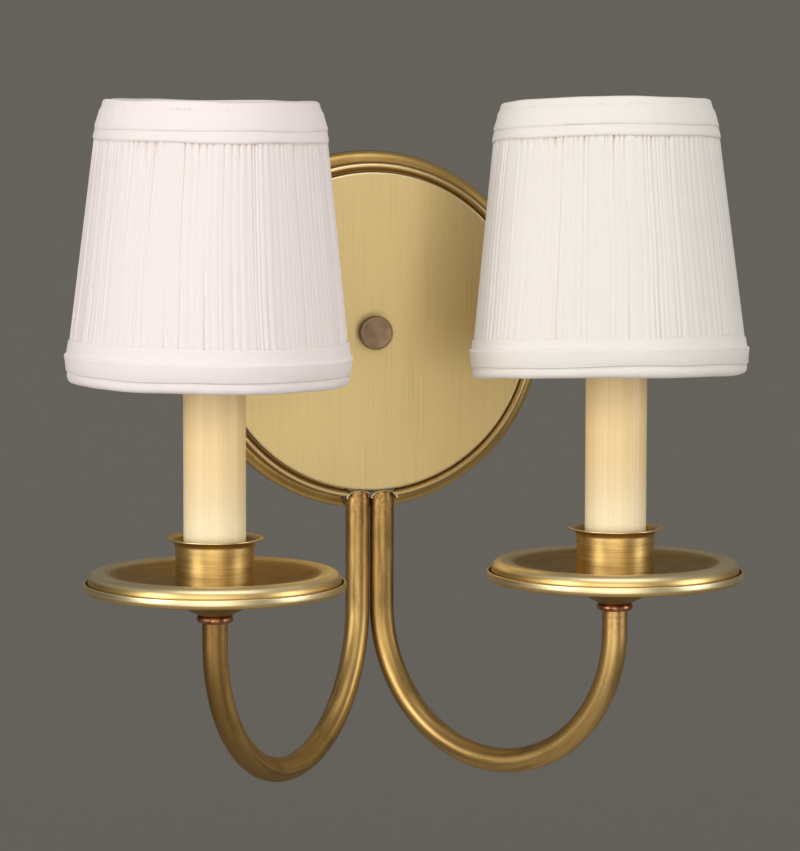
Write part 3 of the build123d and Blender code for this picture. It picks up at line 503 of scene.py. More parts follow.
# %% [markdown]
# The field is brushed straight up and down while the rims were brushed on the lathe, so
# the plate's finish chooses between the two scratch directions by radius. Brown film
# stays in the groove. The forward-facing part of the ovolo is painted brown as a painted
# reflection of the dark surroundings, and the brim is darker. The crown of the bead and
# the edge of the field are worn bright, and that brightness also paints the highlights
# they catch.

# %% Finish the plate
ORIGIN = Vector((0, 0, 0))


def plate_finish():
    """Upright brushing on the field, rings on the rims, brown in the grooves, a painted dark reflection on
    the quarter-round and painted highlights on the bead and the field's edge.
    """
    recipe = Recipe("plate_brass", Metallic=1.0)
    x, y, z = recipe.place()
    reach, angle, depth = ring_coordinates(recipe, ORIGIN, "Y")
    tall_scratch = recipe.vector(x * SCRATCH_FINE, y * 400.0, z * SCRATCH_LONG)
    upright = recipe.cloud(tall_scratch, 0.5, 5.0, 0.65)
    rings = turned_rings(recipe, reach, angle, depth)
    on_field = recipe.span(reach, FIELD_RADIUS + 0.1, FIELD_RADIUS - 0.3)
    fine = on_field * upright + (1 - on_field) * rings
    slow = recipe.cloud(recipe.vector(x, y, z * 0.35), 30.0, 3.0)
    spots = recipe.window(recipe.haze(900.0, 2.0), 0.72, 0.8) * 0.25
    side_wall = recipe.span(reach, WALL_RADIUS + 0.6, WALL_RADIUS + 0.1)
    # the bead's top and the field's edge are painted bright: wear and the highlights they catch
    crown_highlight = recipe.span(reach, WALL_RADIUS - 1.8, WALL_RADIUS - 1.4)
    crown_highlight = crown_highlight * recipe.span(reach, WALL_RADIUS - 0.4, WALL_RADIUS - 0.9)
    edge = recipe.span(reach, FIELD_RADIUS - 0.9, FIELD_RADIUS - 0.45) * on_field
    hollow = (1 - on_field) * side_wall * (1 - crown_highlight)
    # the inner part of the ovolo is painted brown: a painted reflection of the dark surroundings
    ovolo_dark_reflection = recipe.span(reach, PLATE_RADIUS - 1.0, PLATE_RADIUS - 2.3) * (1 - side_wall)
    brim = recipe.span(reach, PLATE_RADIUS - 0.5, PLATE_RADIUS - 0.1)
    rim_film_and_dark_reflection = hollow * 0.72 + spots + ovolo_dark_reflection * (0.45 + recipe.window(slow, 0.4, 0.65) * 0.3) + brim * 0.6
    film = recipe.window(slow, 0.55, 0.9) * 0.12 + rim_film_and_dark_reflection * (1 - on_field)
    gold = recipe.mix(on_field, GOLD, FIELD_GOLD)
    gold = recipe.mix(recipe.math("MAXIMUM", crown_highlight * 0.6, edge), gold, WORN_HIGHLIGHT_GOLD)
    satin = 0.31 + on_field * 0.08
    return brass_finish(recipe, fine, film, gold, satin=satin, depth=0.006, contrast=0.11)


def place(piece, body, slot, recipe, *nodes):
    """Give a finished piece its finish, its body and the nodes that it stands for."""
    piece.data.materials.clear()
    piece.data.materials.append(recipe.material)
    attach(piece, body)
    if nodes:
        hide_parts(*nodes)
    print(piece.name, len(piece.data.polygons), "faces")
    return piece


place(plate, "fixture", "plate_brass", plate_finish(), "backplate")

# %% [markdown]
# ## Brazing round the arms
#
# The tubes are brazed into the two holes. The brazing metal rises a little up each tube
# in an uneven fillet and has gone grey-brown. It could be sculpted as one blob, but a
# turned collar stays true to the tube: it is sheared so that it follows the plate's rim
# backwards, and then roughened with noise. The raised lip of each hole, worn bright and
# painted brighter still as a highlight line, is a thin arched wire in the same piece,
# marked by an attribute.

# %% Make the collars, the filling between them and the two arched lips
BRAZE_TOP = -(FIELD_RADIUS + 0.6)
BRAZE_SLOPE = 8.0 / 11.0
ARCH_STEPS = 32
ARCH_RADIUS = 5.1
ARCH_RISE = 3.0
ARCH_FOOT = -(FIELD_RADIUS + 3.2)
ARCH_WIRE = 0.26
LUMP_SIZE = (2.0 * MM, 1.1 * MM, 2.4 * MM)


def join(bm, part):
    """Move one bmesh into another."""
    joined = bpy.data.meshes.new("part")
    part.to_mesh(joined)
    part.free()
    bm.from_mesh(joined)
    bpy.data.meshes.remove(joined)


def open_circle(bm, radius, centre, sides):
    """The points and edges of a level circle; the radius is in millimetres."""
    stand = Matrix.Translation(centre)
    circle = bmesh.ops.create_circle(bm, cap_ends=False, segments=sides, radius=radius * MM, matrix=stand)
    verts = circle["verts"]
    made = set(verts)
    return verts + [edge for edge in bm.edges if made.issuperset(edge.verts)]


def arch_part(leg):
    """The raised lip of a hole, worn bright and carrying a painted highlight: a wire arched over the tube.
    """
    arch = bmesh.new()
    ring = open_circle(arch, ARCH_WIRE, Vector((ARCH_RADIUS, 0, 0)) * MM, 8)
    spin(arch, ring, (0, 0, 0), (0, -1, 0), pi, ARCH_STEPS)
    bmesh.ops.holes_fill(arch, edges=arch.edges)
    front = leg.y - (TUBE_RADIUS + ARCH_WIRE) * MM
    low = Matrix.Diagonal((1, 1, ARCH_RISE / ARCH_RADIUS, 1))
    stand = Matrix.Translation((leg.x, front, ARCH_FOOT * MM))
    bmesh.ops.transform(arch, matrix=stand @ low, verts=arch.verts)
    return arch


def braze_piece():
    bm = bmesh.new()
    for side in SIDES:
        leg = leg_place(side)
        outline = [(TUBE_RADIUS, -3.0), (HOLE_RADIUS, -3.0)]
        pulls = (HOLE_RADIUS - 0.3, 0.1), (TUBE_RADIUS + 0.1, 0.3)
        outline += eased((HOLE_RADIUS, 0.0), *pulls, (TUBE_RADIUS, 1.4), 5)
        collar = lathe(outline, steps=48)
        for vert in collar.verts:
            wander = noise.noise(vert.co * 420.0 + leg * 900.0)
            vert.co.z += wander * 0.5 * MM - vert.co.y * BRAZE_SLOPE
        bmesh.ops.translate(collar, verts=collar.verts, vec=leg + Vector((0, 0, BRAZE_TOP * MM)))
        join(bm, collar)
    between = Matrix.Translation(Vector((0, leg.y - 2.2 * MM, (BRAZE_TOP - 0.6) * MM)))
    lump = Matrix.Diagonal((*LUMP_SIZE, 1))
    bmesh.ops.create_uvsphere(bm, u_segments=24, v_segments=16, radius=1.0, matrix=between @ lump)
    solder = len(bm.verts)
    for side in SIDES:
        join(bm, arch_part(leg_place(side)))
    piece = finish_piece(bm, "brazing_collars", sharp=radians(60))
    lip = piece.data.attributes.new("lip", "FLOAT", "POINT")
    for index in range(solder, len(piece.data.vertices)):
        lip.data[index].value = 1.0
    return piece


def braze_finish():
    recipe = Recipe("grey_braze", Metallic=0.85)
    cloud = recipe.haze(700.0, 4.0)
    colour = recipe.mix(recipe.window(cloud, 0.35, 0.7), (0.33, 0.28, 0.19), (0.17, 0.12, 0.07))
    # the lip is mixed towards pale gold: a painted highlight line along the hole's edge
    colour = recipe.mix(recipe.attribute("lip") * 0.8, colour, WORN_HIGHLIGHT_GOLD)
    return recipe.feed(Base_Color=colour, Roughness=0.42 + cloud * 0.3, Normal=recipe.bump(cloud, 0.8, 0.15))


place(braze_piece(), "fixture", "braze", braze_finish(), "rim_braze")

# %% [markdown]
# ## The knob that holds the plate
#
# A small cap nut in dark bronze, with straight knurling on its side and a plain face
# whose thin edge is worn bright. A knurl is a shape that repeats, so the lathe is given
# four steps for each ridge, and the two lower ones are drawn in.

# %% Turn the knob and cut its knurling
KNURLS = 44
KNURL_DEPTH = 0.6
knob_low, knob_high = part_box("knurled_knob")
KNOB_FACE = -knob_low.y / MM
KNOB_FOOT = -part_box("captive_washer")[0].y / MM + 0.05
KNOB_RADIUS = knob_high.x / MM


def knob_piece():
    inner = KNOB_RADIUS - KNURL_DEPTH
    bore = 2.15
    bore_depth = 5.8
    foot = KNOB_RADIUS - 1.5
    head = KNOB_FACE - 4.2
    outline = [(bore, KNOB_FOOT), (foot - 0.2, KNOB_FOOT), (foot, KNOB_FOOT + 0.2), (foot, head)]
    outline += [(KNOB_RADIUS - 0.15, head), (KNOB_RADIUS, head + 0.15), (KNOB_RADIUS, KNOB_FACE - 0.5)]
    outline += [(KNOB_RADIUS - 0.1, KNOB_FACE - 0.32), (inner - 0.05, KNOB_FACE - 0.22)]
    outline += arc((inner - 0.27, KNOB_FACE - 0.22), 0.22, 0, 90, 4)
    outline += [(inner - 0.6, KNOB_FACE - 0.04), (0, KNOB_FACE - 0.05)]
    outline += [(0, KNOB_FOOT + bore_depth), (bore, KNOB_FOOT + bore_depth)]
    bm = lathe(outline, axis="Y", steps=KNURLS * 4)
    step = 2 * pi / (KNURLS * 4)
    for vert in bm.verts:
        reach = hypot(vert.co.x, vert.co.z) / MM
        if reach > inner + 0.05 and round(atan2(vert.co.z, vert.co.x) / step) % 4 > 1:
            scale = 1 - KNURL_DEPTH / reach
            vert.co.x *= scale
            vert.co.z *= scale
    return finish_piece(bm, "knob_cap", sharp=radians(30))


def knob_finish():
    """Dark bronze, worn bright along the rim of its face, with painted shade down its knurled side."""
    recipe = Recipe("dark_bronze", Metallic=1.0)
    reach, angle, depth = ring_coordinates(recipe, ORIGIN, "Y")
    fine = recipe.cloud(recipe.vector(reach * 1500.0, depth * 1500.0, angle * 2.0), 0.6, 4.0)
    blotch = recipe.haze(260.0)
    face = recipe.mix(recipe.window(blotch, 0.35, 0.7), (0.35, 0.24, 0.15), (0.28, 0.18, 0.115))
    rim = recipe.span(reach, KNOB_RADIUS - 0.85, KNOB_RADIUS - 0.55)
    front = recipe.span(depth * -1, KNOB_FACE - 0.7, KNOB_FACE - 0.3)
    # the knurled side is painted nearly black: painted shade between and below the teeth
    side = recipe.span(depth * -1, KNOB_FACE - 0.4, KNOB_FACE - 0.9)
    body = recipe.mix(side * 0.8, face, (0.13, 0.07, 0.03))
    colour = recipe.mix(rim * front * 0.6, body, (0.60, 0.46, 0.28))
    return recipe.feed(
        Base_Color=colour,
        Roughness=0.42 + fine * 0.14,
        Normal=recipe.bump(fine, 0.5, 0.01),
    )


place(knob_piece(), "knob", "dark_brass", knob_finish(), "knurled_knob")

# %% [markdown]
# ## The arms
#
# Each arm is one length of tube with a half-circle bend. A curve with a bevel would
# also do, but spinning the tube's own end circle about the centre of the bend gives the
# same even rings that a bending tool leaves, and the straight runs are two extrusions.
# Every point also remembers how far along the tube it lies and where it is round the
# section, so that scratches and stains can follow the tube through its bend.

# %% Bend the tubes
TUBE_WALL = 0.9
TUBE_SIDES = 56
BEND_STEPS = 96
LEG_RUNS = 24
FOOT_RUNS = 12
TIP_ABOVE_NUT = 3.4


def arm_frame(side):
    """Leg axis, lamp axis, direction between them, level square to it, and bend height."""
    leg = leg_place(side)
    foot = lamp[side]
    along = (foot - leg).normalized()
    square = Vector((-along.y, along.x, 0))
    radius = (foot - leg).length / 2
    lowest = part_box(f"arm_tube_{side}")[0].z + TUBE_RADIUS * MM
    return leg, foot, along, square, lowest + radius


def edges_in(items):
    return [item for item in items if isinstance(item, bmesh.types.BMEdge)]


def extrude_ring(bm, ring, travel, runs):
    """Push an open ring of edges along a straight line, in several runs."""
    for _ in range(runs):
        made = bmesh.ops.extrude_edge_only(bm, edges=ring)["geom"]
        moved = [item for item in made if isinstance(item, bmesh.types.BMVert)]
        bmesh.ops.translate(bm, verts=moved, vec=travel / runs)
        ring = edges_in(made)
    return ring


def tube_skin(bm, side, radius):
    """One skin of the tube, from behind the plate to its upper end."""
    leg, foot, _, square, bend_z = arm_frame(side)
    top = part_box(f"arm_tube_{side}")[1].z
    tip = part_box(f"cup_lock_nut_{side}")[1].z + TIP_ABOVE_NUT * MM
    start = Vector((leg.x, leg.y, bend_z))
    ring = open_circle(bm, radius, start, TUBE_SIDES)
    centre = (leg + foot) / 2 + Vector((0, 0, bend_z))
    spun = spin(bm, ring, centre, square, -pi, BEND_STEPS)
    upper = extrude_ring(bm, edges_in(ring), Vector((0, 0, top - bend_z)), LEG_RUNS)
    outer = extrude_ring(bm, edges_in(spun), Vector((0, 0, tip - bend_z)), FOOT_RUNS)
    return upper, outer


def mark_along(piece, side):
    """Store the distance along the tube and the place round its section on every point."""
    leg, foot, along, square, bend_z = arm_frame(side)
    radius = (foot - leg).length / 2
    centre = (leg + foot) / 2
    travelled = piece.data.attributes.new("along", "FLOAT", "POINT")
    outward = piece.data.attributes.new("outward", "FLOAT", "POINT")
    sideways = piece.data.attributes.new("sideways", "FLOAT", "POINT")
    for index, vert in enumerate(piece.data.vertices):
        flat = (vert.co - centre).dot(along)
        if vert.co.z >= bend_z:
            reach = abs(flat)
            distance = bend_z - vert.co.z if flat < 0 else pi * radius + vert.co.z - bend_z
        else:
            reach = hypot(flat, vert.co.z - bend_z)
            distance = radius * atan2(bend_z - vert.co.z, -flat)
        travelled.data[index].value = distance
        outward.data[index].value = reach - radius
        sideways.data[index].value = (vert.co - centre).dot(square)


def arm_piece(side):
    bm = bmesh.new()
    outer_ends = tube_skin(bm, side, TUBE_RADIUS)
    inner_ends = tube_skin(bm, side, TUBE_RADIUS - TUBE_WALL)
    for outer, inner in zip(outer_ends, inner_ends):
        bmesh.ops.bridge_loops(bm, edges=outer + inner)
    piece = finish_piece(bm, f"bent_arm_{side}", sharp=radians(50))
    mark_along(piece, side)
    return piece


# %% [markdown]
# Brown film lies on the tubes in clouds and long streaks. The left arm is painted brown
# under its bend as a painted reflection of the dark floor, and the right one down its
# inner leg as painted shade from the left tube beside it. The torch left red and speckled
# stains below the ring and below the plate. The stored coordinates make scratches that
# run lengthwise.

# %% Finish the arms
# painted shade down the right arm's inner leg, from the left tube; under the left bend, a painted reflection
# of the dark floor
LEG_FILM_AND_SHADE = {"left": 0.05, "right": 0.4}
UNDER_BEND_DARK_REFLECTION = {"left": 0.75, "right": 0.0}


def arm_finish(side):
    leg, foot, *_, bend_z = arm_frame(side)
    length = pi * (foot - leg).length / 2
    recipe = Recipe(f"arm_brass_{side}", Metallic=1.0)
    travelled = recipe.attribute("along")
    outward = recipe.attribute("outward")
    sideways = recipe.attribute("sideways")

    def lengthwise(across, along, scale=1.0, detail=3.0, roughness=0.5):
        """Noise by place round the section and distance along the tube."""
        spot = recipe.vector(outward * across, sideways * across, travelled * along)
        return recipe.cloud(spot, scale, detail, roughness)

    fine = lengthwise(SCRATCH_FINE, 45.0, 0.42, 5.0, 0.6)
    slow = lengthwise(140.0, 55.0, detail=4.0)
    speck = lengthwise(900.0, 800.0)
    streak = lengthwise(420.0, 22.0)
    ring_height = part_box(f"check_ring_{side}")[0].z
    ring_place = length + ring_height - bend_z
    near_ring = recipe.window(travelled, ring_place - 16 * MM, ring_place)
    near_plate = recipe.window(travelled, bend_z + (FIELD_RADIUS + 18) * MM, bend_z + FIELD_RADIUS * MM)
    stain = recipe.math("MAXIMUM", near_ring, near_plate)
    film = recipe.window(slow, 0.42, 0.8) * 0.45 + recipe.window(streak, 0.42, 0.66) * 0.5
    film = film + stain * recipe.window(speck, 0.42, 0.62) * 0.4
    # painted shade on the inner leg and a painted dark reflection under the bend, added to the film
    leg_film_and_shade = recipe.window(travelled, length * 0.3, -10 * MM) * LEG_FILM_AND_SHADE[side]
    below = recipe.window(outward, 0.0, TUBE_RADIUS * 0.8 * MM)
    film = film + leg_film_and_shade + below * recipe.window(travelled, 0.0, length * 0.3) * UNDER_BEND_DARK_REFLECTION[side]
    reddened = (near_ring * 0.75 + near_plate * 0.3) * recipe.window(slow, 0.3, 0.6)
    gold = recipe.mix(reddened, ARM_GOLD, COPPER)
    tone = recipe.mix(recipe.window(fine, 0.35, 0.8) * 0.3, gold, PALE_GOLD)
    colour = recipe.mix(recipe.math("MINIMUM", film, 0.85), tone, BROWN)
    return recipe.feed(
        Base_Color=colour,
        Roughness=0.33 + fine * 0.14 + film * 0.1,
        Normal=recipe.bump(fine + speck * stain, 0.5, 0.012),
    )


for side in SIDES:
    place(arm_piece(side), "fixture", "arm_brass", arm_finish(side), f"arm_tube_{side}")

# %% [markdown]
# ## The stack on each arm
#
# From the bottom up: a half-round ring brazed on the tube as a stop, a shallow boss, a
# flat pan with an upturned rim, a dished pan with a rolled edge inside it, and a cup
# with a flared lip. All are turned, so each is one outline. Heights come from the
# frame, and the outlines add what a drawing of the real pieces would show: small
# rounds on every edge, the tuck under the roll, and the thin lip.

# %% Heights of the stack


def height_of(node, side, end):
    """Lowest (0) or highest (1) height of a node, in millimetres."""
    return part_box(f"{node}_{side}")[end].z / MM


RING_BOTTOM = height_of("check_ring", "left", 0)
RING_TOP = height_of("check_ring", "left", 1)
BOSS_TOP = height_of("pan_boss", "left", 1)
CUP_TOP = height_of("candle_cup", "left", 1)
CREST = height_of("upper_pan", "left", 1)
BORE = TUBE_RADIUS + 0.07
PAN_SHEET = 0.9
LOWER_FLOOR = BOSS_TOP + PAN_SHEET
UPPER_FLOOR = LOWER_FLOOR + PAN_SHEET
print("stack heights", [round(h, 1) for h in (RING_BOTTOM, RING_TOP, BOSS_TOP, LOWER_FLOOR, CREST, CUP_TOP)])

# %% Outlines of the ring, the boss and the lower pan


def ring_outline():
    land = 5.35
    half = (RING_TOP - RING_BOTTOM) / 2
    outline = [(BORE, RING_BOTTOM)]
    outline += arc((land, RING_BOTTOM + half), half, -90, 90, 16)
    outline += [(BORE, RING_TOP)]
    return outline


def boss_outline():
    rim = 19.0
    outline = [(BORE, RING_TOP), (6.5, RING_TOP)]
    pulls = (9.5, RING_TOP + 1.6), (17.2, BOSS_TOP - 3.6)
    outline += eased((6.75, RING_TOP + 0.2), *pulls, (rim - 0.3, BOSS_TOP - 1.2), 16)
    outline += [(rim, BOSS_TOP - 0.9), (rim, BOSS_TOP), (BORE, BOSS_TOP)]
    return outline


def lower_pan_outline():
    rim = 48.8
    corner = 1.9
    rim_top = BOSS_TOP + 3.3
    outline = [(BORE, BOSS_TOP), (rim - corner, BOSS_TOP)]
    outline += arc((rim - corner, BOSS_TOP + corner), corner, -90, 0, 12)
    outline += arc((rim - PAN_SHEET / 2, rim_top), PAN_SHEET / 2, 0, 180, 8)
    outline += arc((rim - corner, BOSS_TOP + corner), corner - PAN_SHEET, 0, -90, 8)
    outline += [(BORE, LOWER_FLOOR)]
    return outline


# %% Outlines of the dished pan and the cup


def upper_pan_outline():
    rim = 47.1
    roll = 4.0
    roll_centre = (rim - roll, CREST - roll)
    lead = (rim - 2 * roll, CREST - 0.9)
    floor_edge = 20.0
    outline = [(BORE, LOWER_FLOOR + 0.02), (BORE, UPPER_FLOOR), (floor_edge, UPPER_FLOOR)]
    outline += eased((floor_edge, UPPER_FLOOR), (28, UPPER_FLOOR + 0.1), (34.2, CREST - 2.9), lead, 18)
    outline += eased(lead, (40.5, CREST - 0.35), (41.6, CREST), (rim - roll, CREST), 8)
    outline += arc(roll_centre, roll, 86, 0, 16)
    outline += arc((rim - 0.45, CREST - roll - 0.8), 0.45, 0, -180, 8)
    outline += arc(roll_centre, roll - PAN_SHEET, 0, 90, 12)
    pulls = (34.2, CREST - 3.8), (28, LOWER_FLOOR + 0.12)
    outline += eased((39.3, CREST - 1.75), *pulls, (floor_edge, LOWER_FLOOR + 0.02), 14)
    return outline


def cup_outline():
    wall = 1.0
    radius = 14.9
    lip = 18.05
    floor = UPPER_FLOOR + 1.2
    neck = CUP_TOP - 3.2
    outline = [(BORE, UPPER_FLOOR), (radius - 0.3, UPPER_FLOOR), (radius, UPPER_FLOOR + 0.3)]
    waist = (radius - 0.35, UPPER_FLOOR + 5), (radius - 0.35, neck - 4)
    outline += eased((radius, UPPER_FLOOR + 0.6), *waist, (radius, neck), 12)
    flare = (radius + 0.15, neck + 1.9), (lip - 1.6, CUP_TOP - 0.75)
    outline += eased((radius, neck + 0.1), *flare, (lip - 0.35, CUP_TOP - 0.72), 10)
    outline += arc((lip - 0.36, CUP_TOP - 0.36), 0.36, -80, 90, 8)
    flare = (radius + 0.6, CUP_TOP - 0.5), (radius - wall, neck + 1.6)
    outline += eased((lip - 1.0, CUP_TOP - 0.05), *flare, (radius - wall, neck), 10)
    outline += [(radius - wall, floor), (BORE, floor)]
    return outline


# %% [markdown]
# The dished pan holds the most brown film, in its hollow, and its rolled edge is painted
# bright, worn metal and a painted highlight together. The bands below say, by radius and
# height, where the film gathers and where the brass is painted bright for wear and
# highlight. The boss is olive and dull, painted darker for the shade that the pans cast
# on it. The ring is copper red from the heat of the torch.

# %% Turn and finish the stacks
STACK = (
    ("turned_boss", "pan_boss", boss_outline, 128, "boss_brass"),
    ("rimmed_pan", "lower_pan", lower_pan_outline, 224, "rim_brass"),
    ("rolled_pan", "upper_pan", upper_pan_outline, 224, "dish_brass"),
    ("flared_cup", "candle_cup", cup_outline, 160, "cup_brass"),
)
STACK_BRASS = {
    # olive painted dark for the shade under the pans, with film that thickens towards the tube
    "boss_brass": {"film": [((30, 10), None, 0.55)], "light": SHADED_OLIVE, "satin": 0.4},
    # film low on the corner and under it, wear and a painted highlight along the standing rim
    "rim_brass": {
        "film": [(None, (BOSS_TOP + 0.5, BOSS_TOP + 0.1), 0.55)],
        "worn": [(None, (BOSS_TOP + 0.7, BOSS_TOP + 2.0), 0.8)],
        "clouds": 0.25,
    },
    # film across the dish and in the tuck under the roll, wear and a painted highlight over the top of the
    # roll
    "dish_brass": {
        "film": [
            ((41.5, 36), (LOWER_FLOOR + 0.5, UPPER_FLOOR), 0.52),
            ((44, 46), (CREST - 3.6, CREST - 4.5), 0.6),
        ],
        "worn": [((38.0, 40.5), (CREST - 3.0, CREST - 1.4), 0.9)],
    },
    # film under the lip and inside the cup, wear and a painted highlight along the lip
    "cup_brass": {
        "film": [((17, 15.4), (CUP_TOP - 3.4, CUP_TOP - 1.8), 0.35), ((14.4, 14.0), None, 0.6)],
        "worn": [(None, (CUP_TOP - 1.2, CUP_TOP - 0.5), 0.7)],
        "light": CUP_GOLD,
        "clouds": 0.3,
        "contrast": 0.45,
    },
}


def copper_finish(side):
    """Heat-reddened copper tone with dark flecks near the brazing."""
    tones = (COPPER, (0.20, 0.09, 0.045))
    name = f"copper_{side}"
    return clouded_finish(name, 480.0, 4.0, (0.38, 0.72), tones, 0.26, 0.2, (0.4, 0.05), Metallic=1.0)


for side in SIDES:
    here = lamp[side]
    ring = finish_piece(lathe(ring_outline(), here, steps=96), f"stop_ring_{side}")
    place(ring, "fixture", "copper_ring", copper_finish(side), f"check_ring_{side}")
    for name, node, outline, steps, brass in STACK:
        piece = finish_piece(lathe(outline(), here, steps=steps), f"{name}_{side}")
        finish = lathe_brass(f"{brass}_{side}", here, **STACK_BRASS[brass])
        place(piece, "fixture", "spun_brass", finish, f"{node}_{side}")

# %% [markdown]
# ## The candle sleeves
#
# Each sleeve is an extruded ivory plastic tube that looks like a candle. The die leaves
# a few very shallow flutes along it, which catch thin upright lines of light. The
# flutes are cut into the mesh, because a bump alone wouldn't show on the outline.

# %% Turn the sleeves and draw their flutes
SLEEVE_RADIUS = 11.6
SLEEVE_BORE = 10.4
SLEEVE_STEPS = 180
FLUTES = (-128.0, -104.0, -63.0, 20.0, 95.0, 160.0)
FLUTE_WIDTH = 5.0
FLUTE_DEPTH = 0.09


def sleeve_piece(side):
    low = height_of("candle_cover", side, 0)
    high = height_of("candle_cover", side, 1)
    outline = [(SLEEVE_BORE, low + 0.2), (SLEEVE_BORE + 0.2, low)]
    outline += [(SLEEVE_RADIUS - 0.2, low), (SLEEVE_RADIUS, low + 0.2), (SLEEVE_RADIUS, high - 0.45)]
    outline += arc((SLEEVE_RADIUS - 0.4, high - 0.4), 0.4, 0, 90, 5)
    outline += [(SLEEVE_BORE + 0.15, high), (SLEEVE_BORE, high - 0.15)]
    bm = lathe(outline, lamp[side], steps=SLEEVE_STEPS)
    for vert in bm.verts:
        away = vert.co - lamp[side]
        reach = hypot(away.x, away.y)
        if reach > (SLEEVE_RADIUS - 0.3) * MM:
            turn = atan2(away.y, away.x) * 180 / pi
            for flute in FLUTES:
                near = abs((turn - flute + 180) % 360 - 180) / FLUTE_WIDTH
                if near < 1:
                    sink = 1 - FLUTE_DEPTH * MM * (1 + cos(pi * near)) / 2 / reach
                    vert.co.x = lamp[side].x + away.x * sink
                    vert.co.y = lamp[side].y + away.y * sink
    return finish_piece(bm, f"ivory_sleeve_{side}")


def sleeve_finish(side):
    """Ivory plastic, darker and tanner towards the top, partly tanned by the lamp's heat and partly painted
    shadow of the shade above, with faint draw lines.
    """
    recipe = Recipe(f"ivory_{side}")
    reach, angle, height = ring_coordinates(recipe, lamp[side])
    # darker and tanner towards the top: tan from heat plus painted shadow of the shade above
    heat = recipe.span(height, -74, -36)
    draw = recipe.cloud(recipe.vector(angle * 9.0, height * 6.0, reach * 100.0), 1.0, 3.0)
    cool = recipe.mix(recipe.window(draw, 0.3, 0.7), (1.0, 0.86, 0.57), (0.98, 0.83, 0.53))
    tanned_and_shaded = recipe.mix(recipe.window(draw, 0.3, 0.7), (0.96, 0.71, 0.37), (0.92, 0.67, 0.33))
    return recipe.feed(
        Base_Color=recipe.mix(heat, cool, tanned_and_shaded),
        Roughness=0.34 + draw * 0.14,
        Normal=recipe.bump(draw, 0.3, 0.04),
    )


for side in SIDES:
    place(sleeve_piece(side), f"cover_{side}", "ivory_sleeve", sleeve_finish(side), f"candle_cover_{side}")

# %% [markdown]
# ## The bulbs
#
# A pointed clear bulb with a thin glass wall. Glass looks like glass only when it has
# both an outside and an inside skin, so the outline goes up the outside and back down
# the inside. The flared stem, two support wires and a coiled filament stand in it.

# %% Blow the glass and mount the filament
BASE_TOP = height_of("bulb_base", "left", 1)
GLASS_TOP = height_of("bulb_glass", "left", 1)
GLASS_RADIUS = 15.9
GLASS_WIDEST = 41.6
GLASS_WALL = 0.7
GLASS_FOOT = BASE_TOP + 0.1


def glass_profile(wall):
    neck = 5.45 - wall
    belly = GLASS_RADIUS - wall
    pulls = (neck + 0.2, GLASS_FOOT + 12), (belly, GLASS_WIDEST - 14.5)
    lower = eased((neck, GLASS_FOOT + wall), *pulls, (belly, GLASS_WIDEST), 18)
    pulls = (belly, GLASS_WIDEST + 14), (5.5 - wall, GLASS_TOP - 9)
    upper = eased((belly, GLASS_WIDEST), *pulls, (0, GLASS_TOP - wall), 18)
    return lower + upper[1:]


def bulb_piece(side):
    inside = list(reversed(glass_profile(GLASS_WALL))) + [(0, GLASS_FOOT + GLASS_WALL)]
    outline = [(0, GLASS_FOOT)] + glass_profile(0) + inside
    return finish_piece(lathe(outline, lamp[side], steps=96, closed=False), f"bulb_envelope_{side}")


def glass_finish():
    recipe = Recipe("clear_glass", IOR=1.47, Transmission_Weight=1.0)
    faint = recipe.haze(60.0, 2.0)
    return recipe.feed(Base_Color=(0.97, 0.97, 0.95), Roughness=faint * 0.03)


def stem_piece(side):
    foot = GLASS_FOOT + GLASS_WALL + 0.1
    outline = [(0, foot), (3.8, foot)]
    outline += eased((3.8, foot + 0.8), (2.4, foot + 2.0), (1.8, foot + 5.0), (1.7, foot + 10.0), 8)
    outline += [(1.7, foot + 24.5)]
    outline += arc((0.6, foot + 25.6), 1.1, -15, 90, 6) + [(0, foot + 26.7)]
    return finish_piece(lathe(outline, lamp[side], steps=40, closed=False), f"glass_stem_{side}")


def wire_piece(name, paths, radius, sides=8):
    """Round wires along lists of points, swept as bevelled curves and made into one mesh."""
    curve = bpy.data.curves.new(name, "CURVE")
    curve.dimensions = "3D"
    curve.bevel_depth = radius * MM
    curve.bevel_resolution = sides // 4
    curve.use_fill_caps = True
    for points, cyclic in paths:
        spline = curve.splines.new("POLY")
        spline.points.add(len(points) - 1)
        for spot, point in zip(spline.points, points):
            spot.co = (*point, 1.0)
        spline.use_cyclic_u = cyclic
    holder = bpy.data.objects.new(name, curve)
    bpy.context.scene.collection.objects.link(holder)
    bpy.context.view_layer.update()
    mesh = bpy.data.meshes.new_from_object(holder.evaluated_get(bpy.context.evaluated_depsgraph_get()))
    bpy.data.objects.remove(holder)
    bm = bmesh.new()
    bm.from_mesh(mesh)
    return finish_piece(bm, name, sharp=radians(60))


COIL_RADIUS = 0.28


def filament_piece(side):
    """Two bowed support wires and a coiled filament hung between them as an arch."""
    foot = BASE_TOP + GLASS_WALL + 27.3
    rise = 14.0
    half = 3.4
    centre = lamp[side]
    supports = []
    for sign in (-1, 1):
        bow = [(1.0, foot - 0.6), (half, foot + rise * 0.5), (half * 0.85, foot + rise)]
        supports.append(([centre + Vector((sign * x, 0, z)) * MM for x, z in bow], False))
    coil = []
    turns = 26
    for step in range(turns * 8 + 1):
        share = step / (turns * 8)
        lean = radians(150 - 120 * share)
        wind = share * turns * 2 * pi
        radius = half * 0.98 + COIL_RADIUS * cos(wind)
        height = foot + rise - 1.7 + radius * sin(lean)
        coil.append(centre + Vector((radius * cos(lean), COIL_RADIUS * sin(wind), height)) * MM)
    return wire_piece(f"filament_coil_{side}", supports + [(coil, False)], 0.13)


